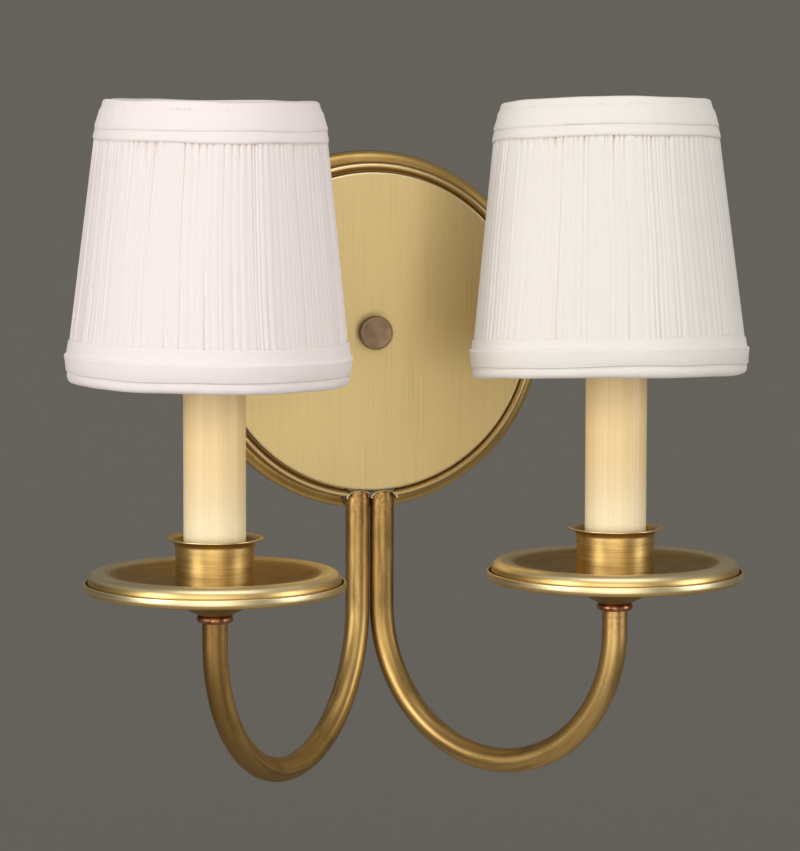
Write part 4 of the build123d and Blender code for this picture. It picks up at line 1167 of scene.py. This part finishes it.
def fine_wire_finish():
    recipe = Recipe("tungsten", Metallic=1.0)
    haze = recipe.haze(900.0, 2.0)
    colour = recipe.mix(haze, (0.30, 0.30, 0.31), (0.18, 0.18, 0.19))
    return recipe.feed(Base_Color=colour, Roughness=0.3 + haze * 0.2)


clear_glass = glass_finish()
tungsten = fine_wire_finish()
for side in SIDES:
    body = f"bulb_{side}"
    place(bulb_piece(side), body, "bulb_glass", clear_glass, f"bulb_glass_{side}")
    place(stem_piece(side), body, "stem_glass", clear_glass, f"bulb_stem_{side}")
    place(filament_piece(side), body, "filament_metal", tungsten, f"filament_{side}")

# %% [markdown]
# ## The clip and the wire frame of each shade
#
# A wire clip grips the bulb with two hoops, and the shade's frame hangs on its two pins.
# The frame is drawn in the shade's own upright space, where it is simple, and a matrix
# then leans it as the shade hangs in the photograph.

# %% The shade's own space
SHADE_POSE = {"left": (0.2, 0.8, -1.3, 0.0), "right": (4.2, 0.0, -3.3, 3.0)}
SHADE_SCALE = {"left": 1.0, "right": 0.993}
SHADE_HEIGHT = 104.0
SHADE_DROP = 64.6
PIVOT_Z = 52.6
CLOTH_CORNERS = ((0.0, 50.9), (10.6, 51.85), (90.6, 42.8), (104.0, 39.8))


def cloth_radius(height):
    """Outer radius of the pleated cloth at a height above the hem."""
    for (low, low_radius), (high, high_radius) in zip(CLOTH_CORNERS, CLOTH_CORNERS[1:]):
        if height <= high:
            share = (height - low) / (high - low)
            return low_radius + share * (high_radius - low_radius)
    return CLOTH_CORNERS[-1][1]


def shade_matrix(side):
    """From the shade's own space, hem at zero and +Z up its axis, to the shared frame."""
    back, right, shift_x, shift_y = SHADE_POSE[side]
    up = Vector((tan(radians(right)), tan(radians(back)), 1)).normalized()
    across = Vector((0, 1, 0)).cross(up).normalized()
    turn = Matrix((across, up.cross(across), up)).transposed().to_4x4()
    hinge = lamp[side] + Vector((shift_x, shift_y, PIVOT_Z)) * MM
    hung = Matrix.Translation(hinge) @ turn @ Matrix.Translation((0, 0, -SHADE_DROP * MM))
    return hung @ Matrix.Scale(SHADE_SCALE[side], 4)


def ring_noise(turn, across, along):
    """Noise that closes on itself after a full turn."""
    return noise.noise(Vector((cos(turn) * across, sin(turn) * across, along)))


def hang(bm, side):
    """Carry a mesh from the shade's own space to its place."""
    bmesh.ops.transform(bm, matrix=shade_matrix(side), verts=bm.verts)


def circle_points(radius, height, steps=96):
    turns = [2 * pi * step / steps for step in range(steps)]
    return [Vector((radius * cos(turn), radius * sin(turn), height)) * MM for turn in turns]


# %% Bend the clip and the frame
HOOP_RADIUS = 11.0
HOOP_X = (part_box("bulb_clip_right")[1].x - lamp["right"].x) / MM - 7.0
FRAME_RING_LOW = cloth_radius(1.4) - 3.1
FRAME_RING_HIGH = cloth_radius(101.8) - 3.1
EYE_RADIUS = 1.9
EYE_WIDTH = 2.4
EYE_TURNS = 3
EYE_STEPS = 48


def clip_piece(side):
    """Hoops, pins and the bow behind the bulb."""
    centre = lamp[side] + Vector((0, 0, GLASS_WIDEST)) * MM
    paths = []
    for sign in (-1, 1):
        turns = [2 * pi * step / 48 for step in range(48)]
        rounds = [Vector((sign * HOOP_X, HOOP_RADIUS * sin(t), HOOP_RADIUS * cos(t))) for t in turns]
        paths.append(([centre + point * MM for point in rounds], True))
        pin = [centre + Vector((sign * (HOOP_X + reach), 0, HOOP_RADIUS)) * MM for reach in (0.0, 3.5, 7.0)]
        paths.append((pin, False))
    reach = hypot(HOOP_X, HOOP_RADIUS)
    first = atan2(HOOP_RADIUS, HOOP_X)
    turns = [first + (pi - 2 * first) * step / 32 for step in range(33)]
    paths.append(([centre + Vector((reach * cos(t), reach * sin(t), 0)) * MM for t in turns], False))
    return wire_piece(f"spring_clip_{side}", paths, 0.8, sides=16)


def frame_piece(side):
    """Two rings, four ribs, and two arms down to coiled eyes on the clip's pins."""
    low, high = 1.4, 101.8
    ring_low = circle_points(FRAME_RING_LOW, low)
    ring_high = circle_points(FRAME_RING_HIGH, high)
    paths = [(ring_low, True), (ring_high, True)]
    for index in range(4):
        spot = len(ring_low) * (2 * index + 1) // 8
        paths.append(([ring_low[spot], ring_high[spot]], False))
    matrix = shade_matrix(side)
    paths = [([matrix @ point for point in points], cyclic) for points, cyclic in paths]
    for sign in (-1, 1):
        eye = lamp[side] + Vector((sign * (HOOP_X + 4.9), 0, PIVOT_Z)) * MM
        end = matrix @ (Vector((sign * FRAME_RING_HIGH, 0, high)) * MM)
        start = eye + (end - eye).normalized() * 1.7 * MM
        paths.append(([start, start.lerp(end, 0.5), end], False))
        coil = []
        for step in range(EYE_STEPS + 1):
            turn = 2 * pi * EYE_TURNS * step / EYE_STEPS
            across = EYE_WIDTH * step / EYE_STEPS - EYE_WIDTH / 2
            coil.append(eye + Vector((across, EYE_RADIUS * sin(turn), EYE_RADIUS * cos(turn))) * MM)
        paths.append((coil, False))
    return wire_piece(f"wire_frame_{side}", paths, 0.95, sides=16)


def wire_finish():
    """Brassed steel wire, slightly tarnished."""
    tones = ((0.66, 0.52, 0.28), (0.38, 0.26, 0.12))
    return clouded_finish("brassed_wire", 180.0, 4.0, (0.35, 0.75), tones, 0.26, 0.2, Metallic=1.0)


brassed_wire = wire_finish()
for side in SIDES:
    place(clip_piece(side), f"clip_{side}", "clip_wire", brassed_wire, f"bulb_clip_{side}")
    place(frame_piece(side), f"shade_{side}", "clip_wire", brassed_wire, f"shade_frame_{side}")

# %% [markdown]
# ## The pleated cloth
#
# The cloth is gathered into about a hundred and twenty narrow pleats that run from the
# top band to the bottom band. No two are alike: they differ in width and depth, some
# fade out half way, and all of them are deepest where the bands pinch them. A cloth
# simulation would need a very fine mesh to hold folds this small, so the pleats are
# pressed into a grid directly: each pleat owns a few columns of the grid, a rounded
# crest and a sharp valley. A solidify modifier then gives the cloth its thickness.

# %% Press the pleats
PLEATS = 124
COLUMNS = 8
PLEAT_ROWS = 34
PLEAT_DEPTH = 1.3
CLOTH_LOW = 2.0
CLOTH_HIGH = 101.5
CLOTH_THICKNESS = 0.25
PLEAT_WIDTHS = (0.45, 1.6)
WIDE_PLEAT = 1.7
WIDE_SHARE = 0.12
PINCH_FADE = {"top": 2.6, "hem": 7.0}
BAND_LOW = {"left": 16.2, "right": 14.6}
BAND_HIGH = 89.4


def thicken(piece, thickness):
    """Give a sheet its thickness, inwards."""
    settings = {"thickness": thickness * MM, "offset": -1.0, "use_even_offset": False}
    return with_modifier(piece, "SOLIDIFY", **settings)


def pleat_starts(source):
    """Share of the turn at which each pleat starts, for uneven pleats."""
    widths = []
    for _ in range(PLEATS):
        widths.append(source.uniform(*PLEAT_WIDTHS) * (WIDE_PLEAT if source.random() < WIDE_SHARE else 1.0))
    total = sum(widths)
    starts, reached = [], 0.0
    for width in widths:
        starts.append(reached / total)
        reached += width
    return starts + [1.0]


def pinch(height, side):
    """How strongly the bands gather the cloth at a height: most at their edges."""
    above = max(0.0, BAND_HIGH - height) / PINCH_FADE["top"]
    below = max(0.0, height - BAND_LOW[side]) / PINCH_FADE["hem"]
    return 0.5 + 0.9 * exp(-above) + 0.2 * exp(-below)


def pleated_piece(side, seed):
    source = random.Random(seed)
    starts = pleat_starts(source)
    depths = [source.uniform(0.35, 1.0) for _ in range(PLEATS)]
    skews = [source.uniform(0.6, 1.7) for _ in range(PLEATS)]
    lifts = [source.uniform(0.0, 0.22) for _ in range(PLEATS)]
    bm = bmesh.new()
    columns = PLEATS * COLUMNS
    bmesh.ops.create_grid(bm, x_segments=columns, y_segments=PLEAT_ROWS, size=0.5)
    fold = bm.verts.layers.float.new("fold")
    for vert in bm.verts:
        column = round((vert.co.x + 0.5) * columns)
        share = vert.co.y + 0.5
        height = CLOTH_LOW + share * (CLOTH_HIGH - CLOTH_LOW)
        pleat = min(column // COLUMNS, PLEATS - 1)
        phase = column / COLUMNS - pleat
        start, width = starts[pleat], starts[pleat + 1] - starts[pleat]
        turn = 2 * pi * (start + width * phase)
        drift = ring_noise(turn, 2.2, share * 2.6 + seed)
        fade = 0.65 + 0.7 * noise.noise(Vector((pleat * 1.7, share * 2.1, seed * 3.1)))
        crest = sin(pi * phase ** skews[pleat]) ** 0.65 if 0 < phase < 1 else 0.0
        depth = PLEAT_DEPTH * depths[pleat] * pinch(height, side) * max(0.15, min(1.0, fade))
        radius = cloth_radius(height) - lifts[pleat] * crest - depth * (1 - crest)
        place_turn = turn + drift * 0.02
        vert.co = Vector((radius * cos(place_turn), radius * sin(place_turn), height)) * MM
        vert[fold] = depth * (1 - crest) / PLEAT_DEPTH
    bmesh.ops.remove_doubles(bm, verts=bm.verts, dist=WELD)
    hang(bm, side)
    piece = finish_piece(bm, f"pleated_cloth_{side}", sharp=radians(75))
    return thicken(piece, CLOTH_THICKNESS)


def mesh_area(piece):
    return sum(face.area for face in piece.data.polygons)


# %% [markdown]
# The bands are strips of the same cloth, pressed in half and glued on in overlapping
# turns, and their ends wrap over the frame's wire. Each band is one open path that is
# turned, disturbed a little so that no fold is a perfect circle, and then thickened.

# %% Fold the bands
BAND_CLOTH = 0.4
BAND_STEPS = 320
BAND_SAG = 0.5
BAND_PUCKER = 0.16
BAND_CREASE = 0.14


def band_path(points):
    """Turn (offset from the cloth, height) points into (radius, height) points."""
    on_cloth = [min(max(height, 0.0), SHADE_HEIGHT) for offset, height in points]
    return [(cloth_radius(near) + offset, height) for near, (offset, height) in zip(on_cloth, points)]


def top_band_points():
    """Lower turn, upper turn over it, the narrow top turn and the wrap over the wire."""
    low = BAND_HIGH
    seam = low + 4.4
    step = SHADE_HEIGHT - 3.4
    top = SHADE_HEIGHT
    points = [(-0.1, low + 0.5), (0.1, low), (0.32, low + 0.15), (0.4, low + 0.9)]
    points += [(0.35, seam - 0.4), (0.12, seam + 0.25), (0.3, seam + 0.15), (0.55, seam - 0.2)]
    points += [(0.7, seam + 0.1), (0.72, seam + 0.9), (0.5, step - 2.6), (0.4, step - 0.7)]
    points += [(0.28, step - 0.15), (0.02, step + 0.2), (-0.15, step + 0.75), (-0.25, top - 0.8)]
    points += [(-0.5, top - 0.2), (-1.0, top), (-2.0, top), (-3.4, top - 0.2), (-4.5, top - 1.2)]
    points += [(-4.7, top - 3.0), (-3.7, top - 4.3), (-2.5, top - 5.6), (-2.45, top - 8.0)]
    return points


def bottom_band_points(side):
    """Upper turn, raised middle turn, and the soft roll that closes the hem."""
    high = BAND_LOW[side]
    ridge = 10.8
    seam = 4.3
    points = [(-2.5, 8.0), (-2.55, 5.2), (-4.4, 3.6), (-4.9, 1.9), (-4.0, 0.5), (-2.6, 0.05)]
    points += [(-1.0, 0.1), (0.2, 0.5), (0.8, 1.3), (0.95, 2.4), (0.8, 3.5), (0.45, seam + 0.1)]
    points += [(0.6, seam - 0.05), (1.05, seam - 0.1), (1.25, seam + 0.3), (1.2, 7.5)]
    points += [(1.3, ridge - 0.8), (1.25, ridge - 0.2), (0.95, ridge + 0.1), (0.62, ridge + 0.1)]
    points += [(0.5, ridge + 0.5), (0.45, high - 1.2), (0.45, high - 0.3), (0.25, high), (0.0, high - 0.4)]
    return points


OVERLAP_TURN = radians(-131.8)
OVERLAP_LEAN = 1.0
OVERLAP_RISE = 0.3


def overlap_step(name, side, turn, height, radius):
    """Rise where the end of the right shade's top band laps slantwise over its start."""
    if name != "top_band" or side != "right" or height < BAND_HIGH + 4.5:
        return 0.0
    travel = (turn - OVERLAP_TURN) * radius + (height - 97.5) * OVERLAP_LEAN
    return OVERLAP_RISE * max(0.0, 1 - travel / 30.0) if travel > 0 else 0.0


def band_piece(name, side, points, seed):
    bm = lathe(band_path(points), steps=BAND_STEPS, closed=False)
    for vert in bm.verts:
        turn = atan2(vert.co.y, vert.co.x)
        height = vert.co.z / MM
        reach = hypot(vert.co.x, vert.co.y) / MM
        sag = ring_noise(turn, 2.2, height * 0.23 + seed) * BAND_SAG
        pucker = ring_noise(turn, 11.0, height * 0.3 + seed * 2) * BAND_PUCKER
        crease = ring_noise(turn, 3.5, height * 1.3 + seed * 5) * BAND_CREASE
        vert.co.z += sag * MM
        scale = 1 + (pucker + crease + overlap_step(name, side, turn, height, reach)) / reach
        vert.co.x *= scale
        vert.co.y *= scale
    hang(bm, side)
    piece = finish_piece(bm, f"{name}_{side}", sharp=radians(85))
    return thicken(piece, BAND_CLOTH)


# %% [markdown]
# Both shades were dyed alike but the photograph shows the left one a touch pinker. The
# weave is a plain cotton with threads about half a millimetre apart, too small to
# model, so they are relief. They follow the angle round the shade and the height. Cloth
# scatters light inside itself, which a little subsurface stands for, and its fuzz shows
# as sheen at grazing angles.

# %% Finish the cloth
# the third tint of each side is painted shade for the pleats' valleys
CLOTH_TINTS = {
    "left": ((0.86, 0.765, 0.745), (0.855, 0.76, 0.705), (0.86, 0.77, 0.60)),
    "right": ((0.82, 0.765, 0.705), (0.80, 0.74, 0.65), (0.80, 0.71, 0.50)),
}
CLOTH_SCATTER = {"Subsurface_Weight": 0.12, "Subsurface_Scale": 0.003}
THREAD = 0.00052


def cloth_finish(name, side, relief):
    """Cream cotton with a plain weave, slight mottling and painted shade in the pleats' valleys."""
    light, dull, crease_shade_tint = CLOTH_TINTS[side]
    recipe = Recipe(f"{name}_{side}", Sheen_Weight=0.25, Sheen_Roughness=0.5, **CLOTH_SCATTER)
    recipe.shader.inputs["Subsurface Radius"].default_value = (1.0, 0.8, 0.6)
    hinge = lamp[side] + Vector((SHADE_POSE[side][2], SHADE_POSE[side][3], 0)) * MM
    reach, angle, height = ring_coordinates(recipe, hinge)
    warp = recipe.math("SINE", angle * (0.048 * 2 * pi / THREAD))
    weft = recipe.math("SINE", height * (2 * pi / THREAD))
    weave = recipe.math("MAXIMUM", warp, weft) * 0.5 + 0.5
    mottle = recipe.haze(70.0, 4.0)
    slub = recipe.cloud(recipe.vector(angle * 30.0, height * 1500.0, reach * 20.0), 1.0, 2.0)
    dulled = recipe.window(mottle, 0.4, 0.85) * 0.35 + (1 - weave) * 0.12
    open_cloth = recipe.mix(dulled, light, dull)
    # the pleats' valleys are mixed towards the third tint: painted shade in the creases
    folds = recipe.window(recipe.attribute("fold"), 0.15, 0.8)
    return recipe.feed(
        Base_Color=recipe.mix(folds * 0.8, open_cloth, crease_shade_tint),
        Roughness=0.82 + mottle * 0.12,
        Normal=recipe.bump(weave * 0.6 + slub * 0.4, relief, 0.05),
    )


# %% Dress each shade
BAND_LENGTH = 2 * pi * cloth_radius(50) * MM

for number, side in enumerate(SIDES):
    body = f"shade_{side}"
    cloth = pleated_piece(side, 11 + number)
    place(cloth, body, "pleated_fabric", cloth_finish("pleated_cotton", side, 0.25), f"pleated_cover_{side}")
    band_finish = cloth_finish("band_cotton", side, 0.3)
    for name, points, node in (
        ("top_band", top_band_points(), f"top_trim_{side}"),
        ("hem_band", bottom_band_points(side), f"bottom_trim_{side}"),
    ):
        band = band_piece(name, side, points, 3.7 * (number + 1) + len(name))
        place(band, body, "trim_fabric", band_finish, node)
        strip = mesh_area(band) / 2 / BAND_LENGTH
        print(name, side, "strip", round(strip / MM, 1), "mm wide")

# %% [markdown]
# ## The lining
#
# Inside the cloth is a stiff cream cone with one glued overlap. It is turned as a thin
# shell, and the overlap is a shallow step in its radius.

# %% Turn the lining
LINER_OUT = 1.65
LINER_WALL = 0.4
LINER_LAP = (radians(70), radians(80))


def liner_piece(side):
    levels = (0.6, 10.6, 30.0, 50.0, 70.0, 90.6, SHADE_HEIGHT - 0.9)
    outline = [(cloth_radius(level) - LINER_OUT, level) for level in levels]
    outline += [(cloth_radius(level) - LINER_OUT - LINER_WALL, level) for level in reversed(levels)]
    bm = lathe(outline, steps=180)
    for vert in bm.verts:
        if LINER_LAP[0] < atan2(vert.co.y, vert.co.x) < LINER_LAP[1]:
            inset = 1 - LINER_WALL * MM / hypot(vert.co.x, vert.co.y)
            vert.co.x *= inset
            vert.co.y *= inset
    hang(bm, side)
    return finish_piece(bm, f"stiff_lining_{side}", sharp=radians(50))


def liner_finish():
    """Cream board with a fibrous face."""
    tones = ((0.88, 0.83, 0.73), (0.80, 0.74, 0.63))
    scatter = {"Subsurface_Weight": 0.1, "Subsurface_Scale": 0.002}
    return clouded_finish("lining_board", 650.0, 5.0, (0.3, 0.75), tones, 0.62, 0.2, (0.3, 0.03), **scatter)


lining = liner_finish()
for side in SIDES:
    place(liner_piece(side), f"shade_{side}", "liner_board", lining, f"shade_liner_{side}")

# %% [markdown]
# ## What is behind the plate and inside the sleeves
#
# The wall bar, the saddle, the nuts, the leads and the sockets are exact already, so the
# engineering parts stay and only get their finishes: zinc plate, moulded plastic,
# copper and stamped brass.

# %% Finishes for the parts that are kept


def zinc_finish():
    """Zinc plate: pale crystals over a fine rolled grain."""
    recipe = Recipe("zinc_plate", Metallic=1.0)
    x, y, z = recipe.place()
    cells = {"Vector": recipe.point(), "Scale": 420.0}
    crystal = recipe.node("ShaderNodeTexVoronoi", {"feature": "F1"}, cells, output="Distance")
    grain = recipe.cloud(recipe.vector(x * 260.0, y * 260.0, z * 2600.0), 1.0)
    return recipe.feed(
        Base_Color=recipe.mix(recipe.window(crystal, 0.0, 0.7), (0.60, 0.60, 0.58), (0.46, 0.47, 0.48)),
        Roughness=0.30 + crystal * 0.12 + grain * 0.1,
        Normal=recipe.bump(grain, 0.3, 0.02),
    )


def plastic_finish(name, colour, dull, roughness):
    """Moulded plastic with a fine grain."""
    recipe = Recipe(name)
    grain = recipe.haze(1400.0)
    return recipe.feed(
        Base_Color=recipe.mix(recipe.window(recipe.haze(90.0, 2.0), 0.3, 0.8), colour, dull),
        Roughness=roughness + grain * 0.12,
        Normal=recipe.bump(grain, 0.35, 0.03),
    )


def metal_finish(name, colour, dull, roughness):
    """Drawn or stamped metal with slight tarnish."""
    tones = (colour, dull)
    return clouded_finish(name, 240.0, 4.0, (0.35, 0.8), tones, roughness, 0.15, (0.2, 0.02), Metallic=1.0)


KEPT_METAL = {
    "socket_brass": ((0.76, 0.58, 0.28), (0.5, 0.34, 0.14), 0.25, ("screw_shell", "center_contact")),
    "dark_washer": ((0.26, 0.17, 0.09), (0.16, 0.10, 0.06), 0.4, ("captive_washer",)),
    "bare_copper": ((0.76, 0.38, 0.22), (0.45, 0.20, 0.11), 0.25, ("ground_wire",)),
    "cap_metal": ((0.78, 0.77, 0.75), (0.58, 0.57, 0.55), 0.22, ("bulb_base",)),
}
KEPT_PLASTIC = {
    "ground_green": ((0.04, 0.26, 0.10), (0.03, 0.18, 0.07), 0.3, ("ground_screw",)),
    "connector_orange": ((0.80, 0.30, 0.04), (0.68, 0.24, 0.03), 0.38, ("wire_nuts",)),
    "socket_black": ((0.028, 0.027, 0.026), (0.045, 0.043, 0.04), 0.4, ("socket_body",)),
    "black_lead": ((0.02, 0.02, 0.02), (0.035, 0.035, 0.035), 0.36, ("lead_black",)),
    "white_lead": ((0.82, 0.81, 0.77), (0.72, 0.70, 0.65), 0.36, ("lead_white",)),
}
KEPT_ZINC = ("crossbar", "center_stud", "stud_lock_nut", "arm_saddle", "cup_lock_nut", "socket_bracket")


def dress(recipe, names):
    """Put a finish on engineering parts that stay as they are, on both arms at once."""
    for node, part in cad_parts.items():
        if node in names or node.rsplit("_", 1)[0] in names:
            for slot in part.material_slots:
                slot.material = recipe.material


dress(zinc_finish(), KEPT_ZINC)
for finish, kept in ((metal_finish, KEPT_METAL), (plastic_finish, KEPT_PLASTIC)):
    for name, (colour, dull, roughness, names) in kept.items():
        dress(finish(name, colour, dull, roughness), names)
print("kept parts dressed")

# %% [markdown]
# ## Floor and light
#
# A plain floor runs out flat and then curves up far behind the object all the way round,
# so there is no horizon line from any side. Metal only looks right when it has something
# to reflect, so the light comes from large soft panels: a very large one behind the
# camera, one overhead, and a smaller one at each side, which is brighter for its size.
# The panels are hidden from the camera but not from reflections.

# %% Lay the floor and hang the panels
FLOOR_GAP = 1100.0
FLOOR_RADIUS = 3600.0
SWEEP_RADIUS = 1600.0


def floor_piece():
    level = cad_low.z / MM - FLOOR_GAP
    outline = [(0, level), (400, level), (1200, level), (2400, level)]
    outline += arc((FLOOR_RADIUS, level + SWEEP_RADIUS), SWEEP_RADIUS, -90, 0, 20)
    outline += [(FLOOR_RADIUS + SWEEP_RADIUS, level + 3000)]
    bm = lathe(outline, steps=96, closed=False)
    return finish_piece(bm, "floor_sweep", sharp=radians(80))


def floor_finish():
    recipe = Recipe("pale_floor")
    colour = recipe.mix(recipe.haze(60.0), (0.50, 0.475, 0.44), (0.48, 0.455, 0.42))
    return recipe.feed(Base_Color=colour, Roughness=0.85)


floor = floor_piece()
floor.data.materials.append(floor_finish().material)
floor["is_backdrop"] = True


def panel(name, place_m, aim_m, size, watts, colour=(1.0, 1.0, 1.0)):
    """A soft rectangular light at a place, aimed at a point."""
    data = bpy.data.lights.new(name, "AREA")
    data.shape = "RECTANGLE"
    data.size, data.size_y = size
    data.energy = watts
    data.color = colour
    light = bpy.data.objects.new(name, data)
    bpy.context.scene.collection.objects.link(light)
    light.location = place_m
    light.rotation_mode = "QUATERNION"
    light.rotation_quaternion = (Vector(aim_m) - Vector(place_m)).to_track_quat("-Z", "Y")
    light.visible_camera = False
    return light


MIDDLE = (0.0, -0.05, 0.0)
panel("front_panel", (-0.5, -2.1, 0.1), MIDDLE, (1.8, 2.0), 22.0, (1.0, 0.98, 0.95))
panel("left_panel", (-1.6, -0.9, 0.3), MIDDLE, (0.8, 1.2), 17.0)
panel("top_panel", (-0.1, -0.9, 1.5), MIDDLE, (1.6, 0.9), 10.0)
panel("right_panel", (1.6, -1.0, 0.2), MIDDLE, (0.6, 1.0), 11.0)

world = bpy.data.worlds.new("studio")
world.use_nodes = True
world.node_tree.nodes["Background"].inputs["Color"].default_value = (1.0, 0.97, 0.92, 1.0)
world.node_tree.nodes["Background"].inputs["Strength"].default_value = 0.2
bpy.context.scene.world = world
bpy.context.scene.view_settings.view_transform = "Standard"
print("studio ready")

# %% [markdown]
# ## Check the size and finish
#
# How far the visual model reaches past the engineering model's box is measured here;
# the cloth stands a few millimetres proud. The visual model may not outgrow the
# engineering model, apart from cloth that stands a few millimetres proud.

# %% Measure how far the visual model passes the engineering box
seen_low, seen_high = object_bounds()
growth = [round((c - s) / MM, 2) for c, s in zip(cad_low, seen_low)]
growth += [round((s - c) / MM, 2) for c, s in zip(cad_high, seen_high)]
print("visual model outside the engineering box by", growth, "mm")
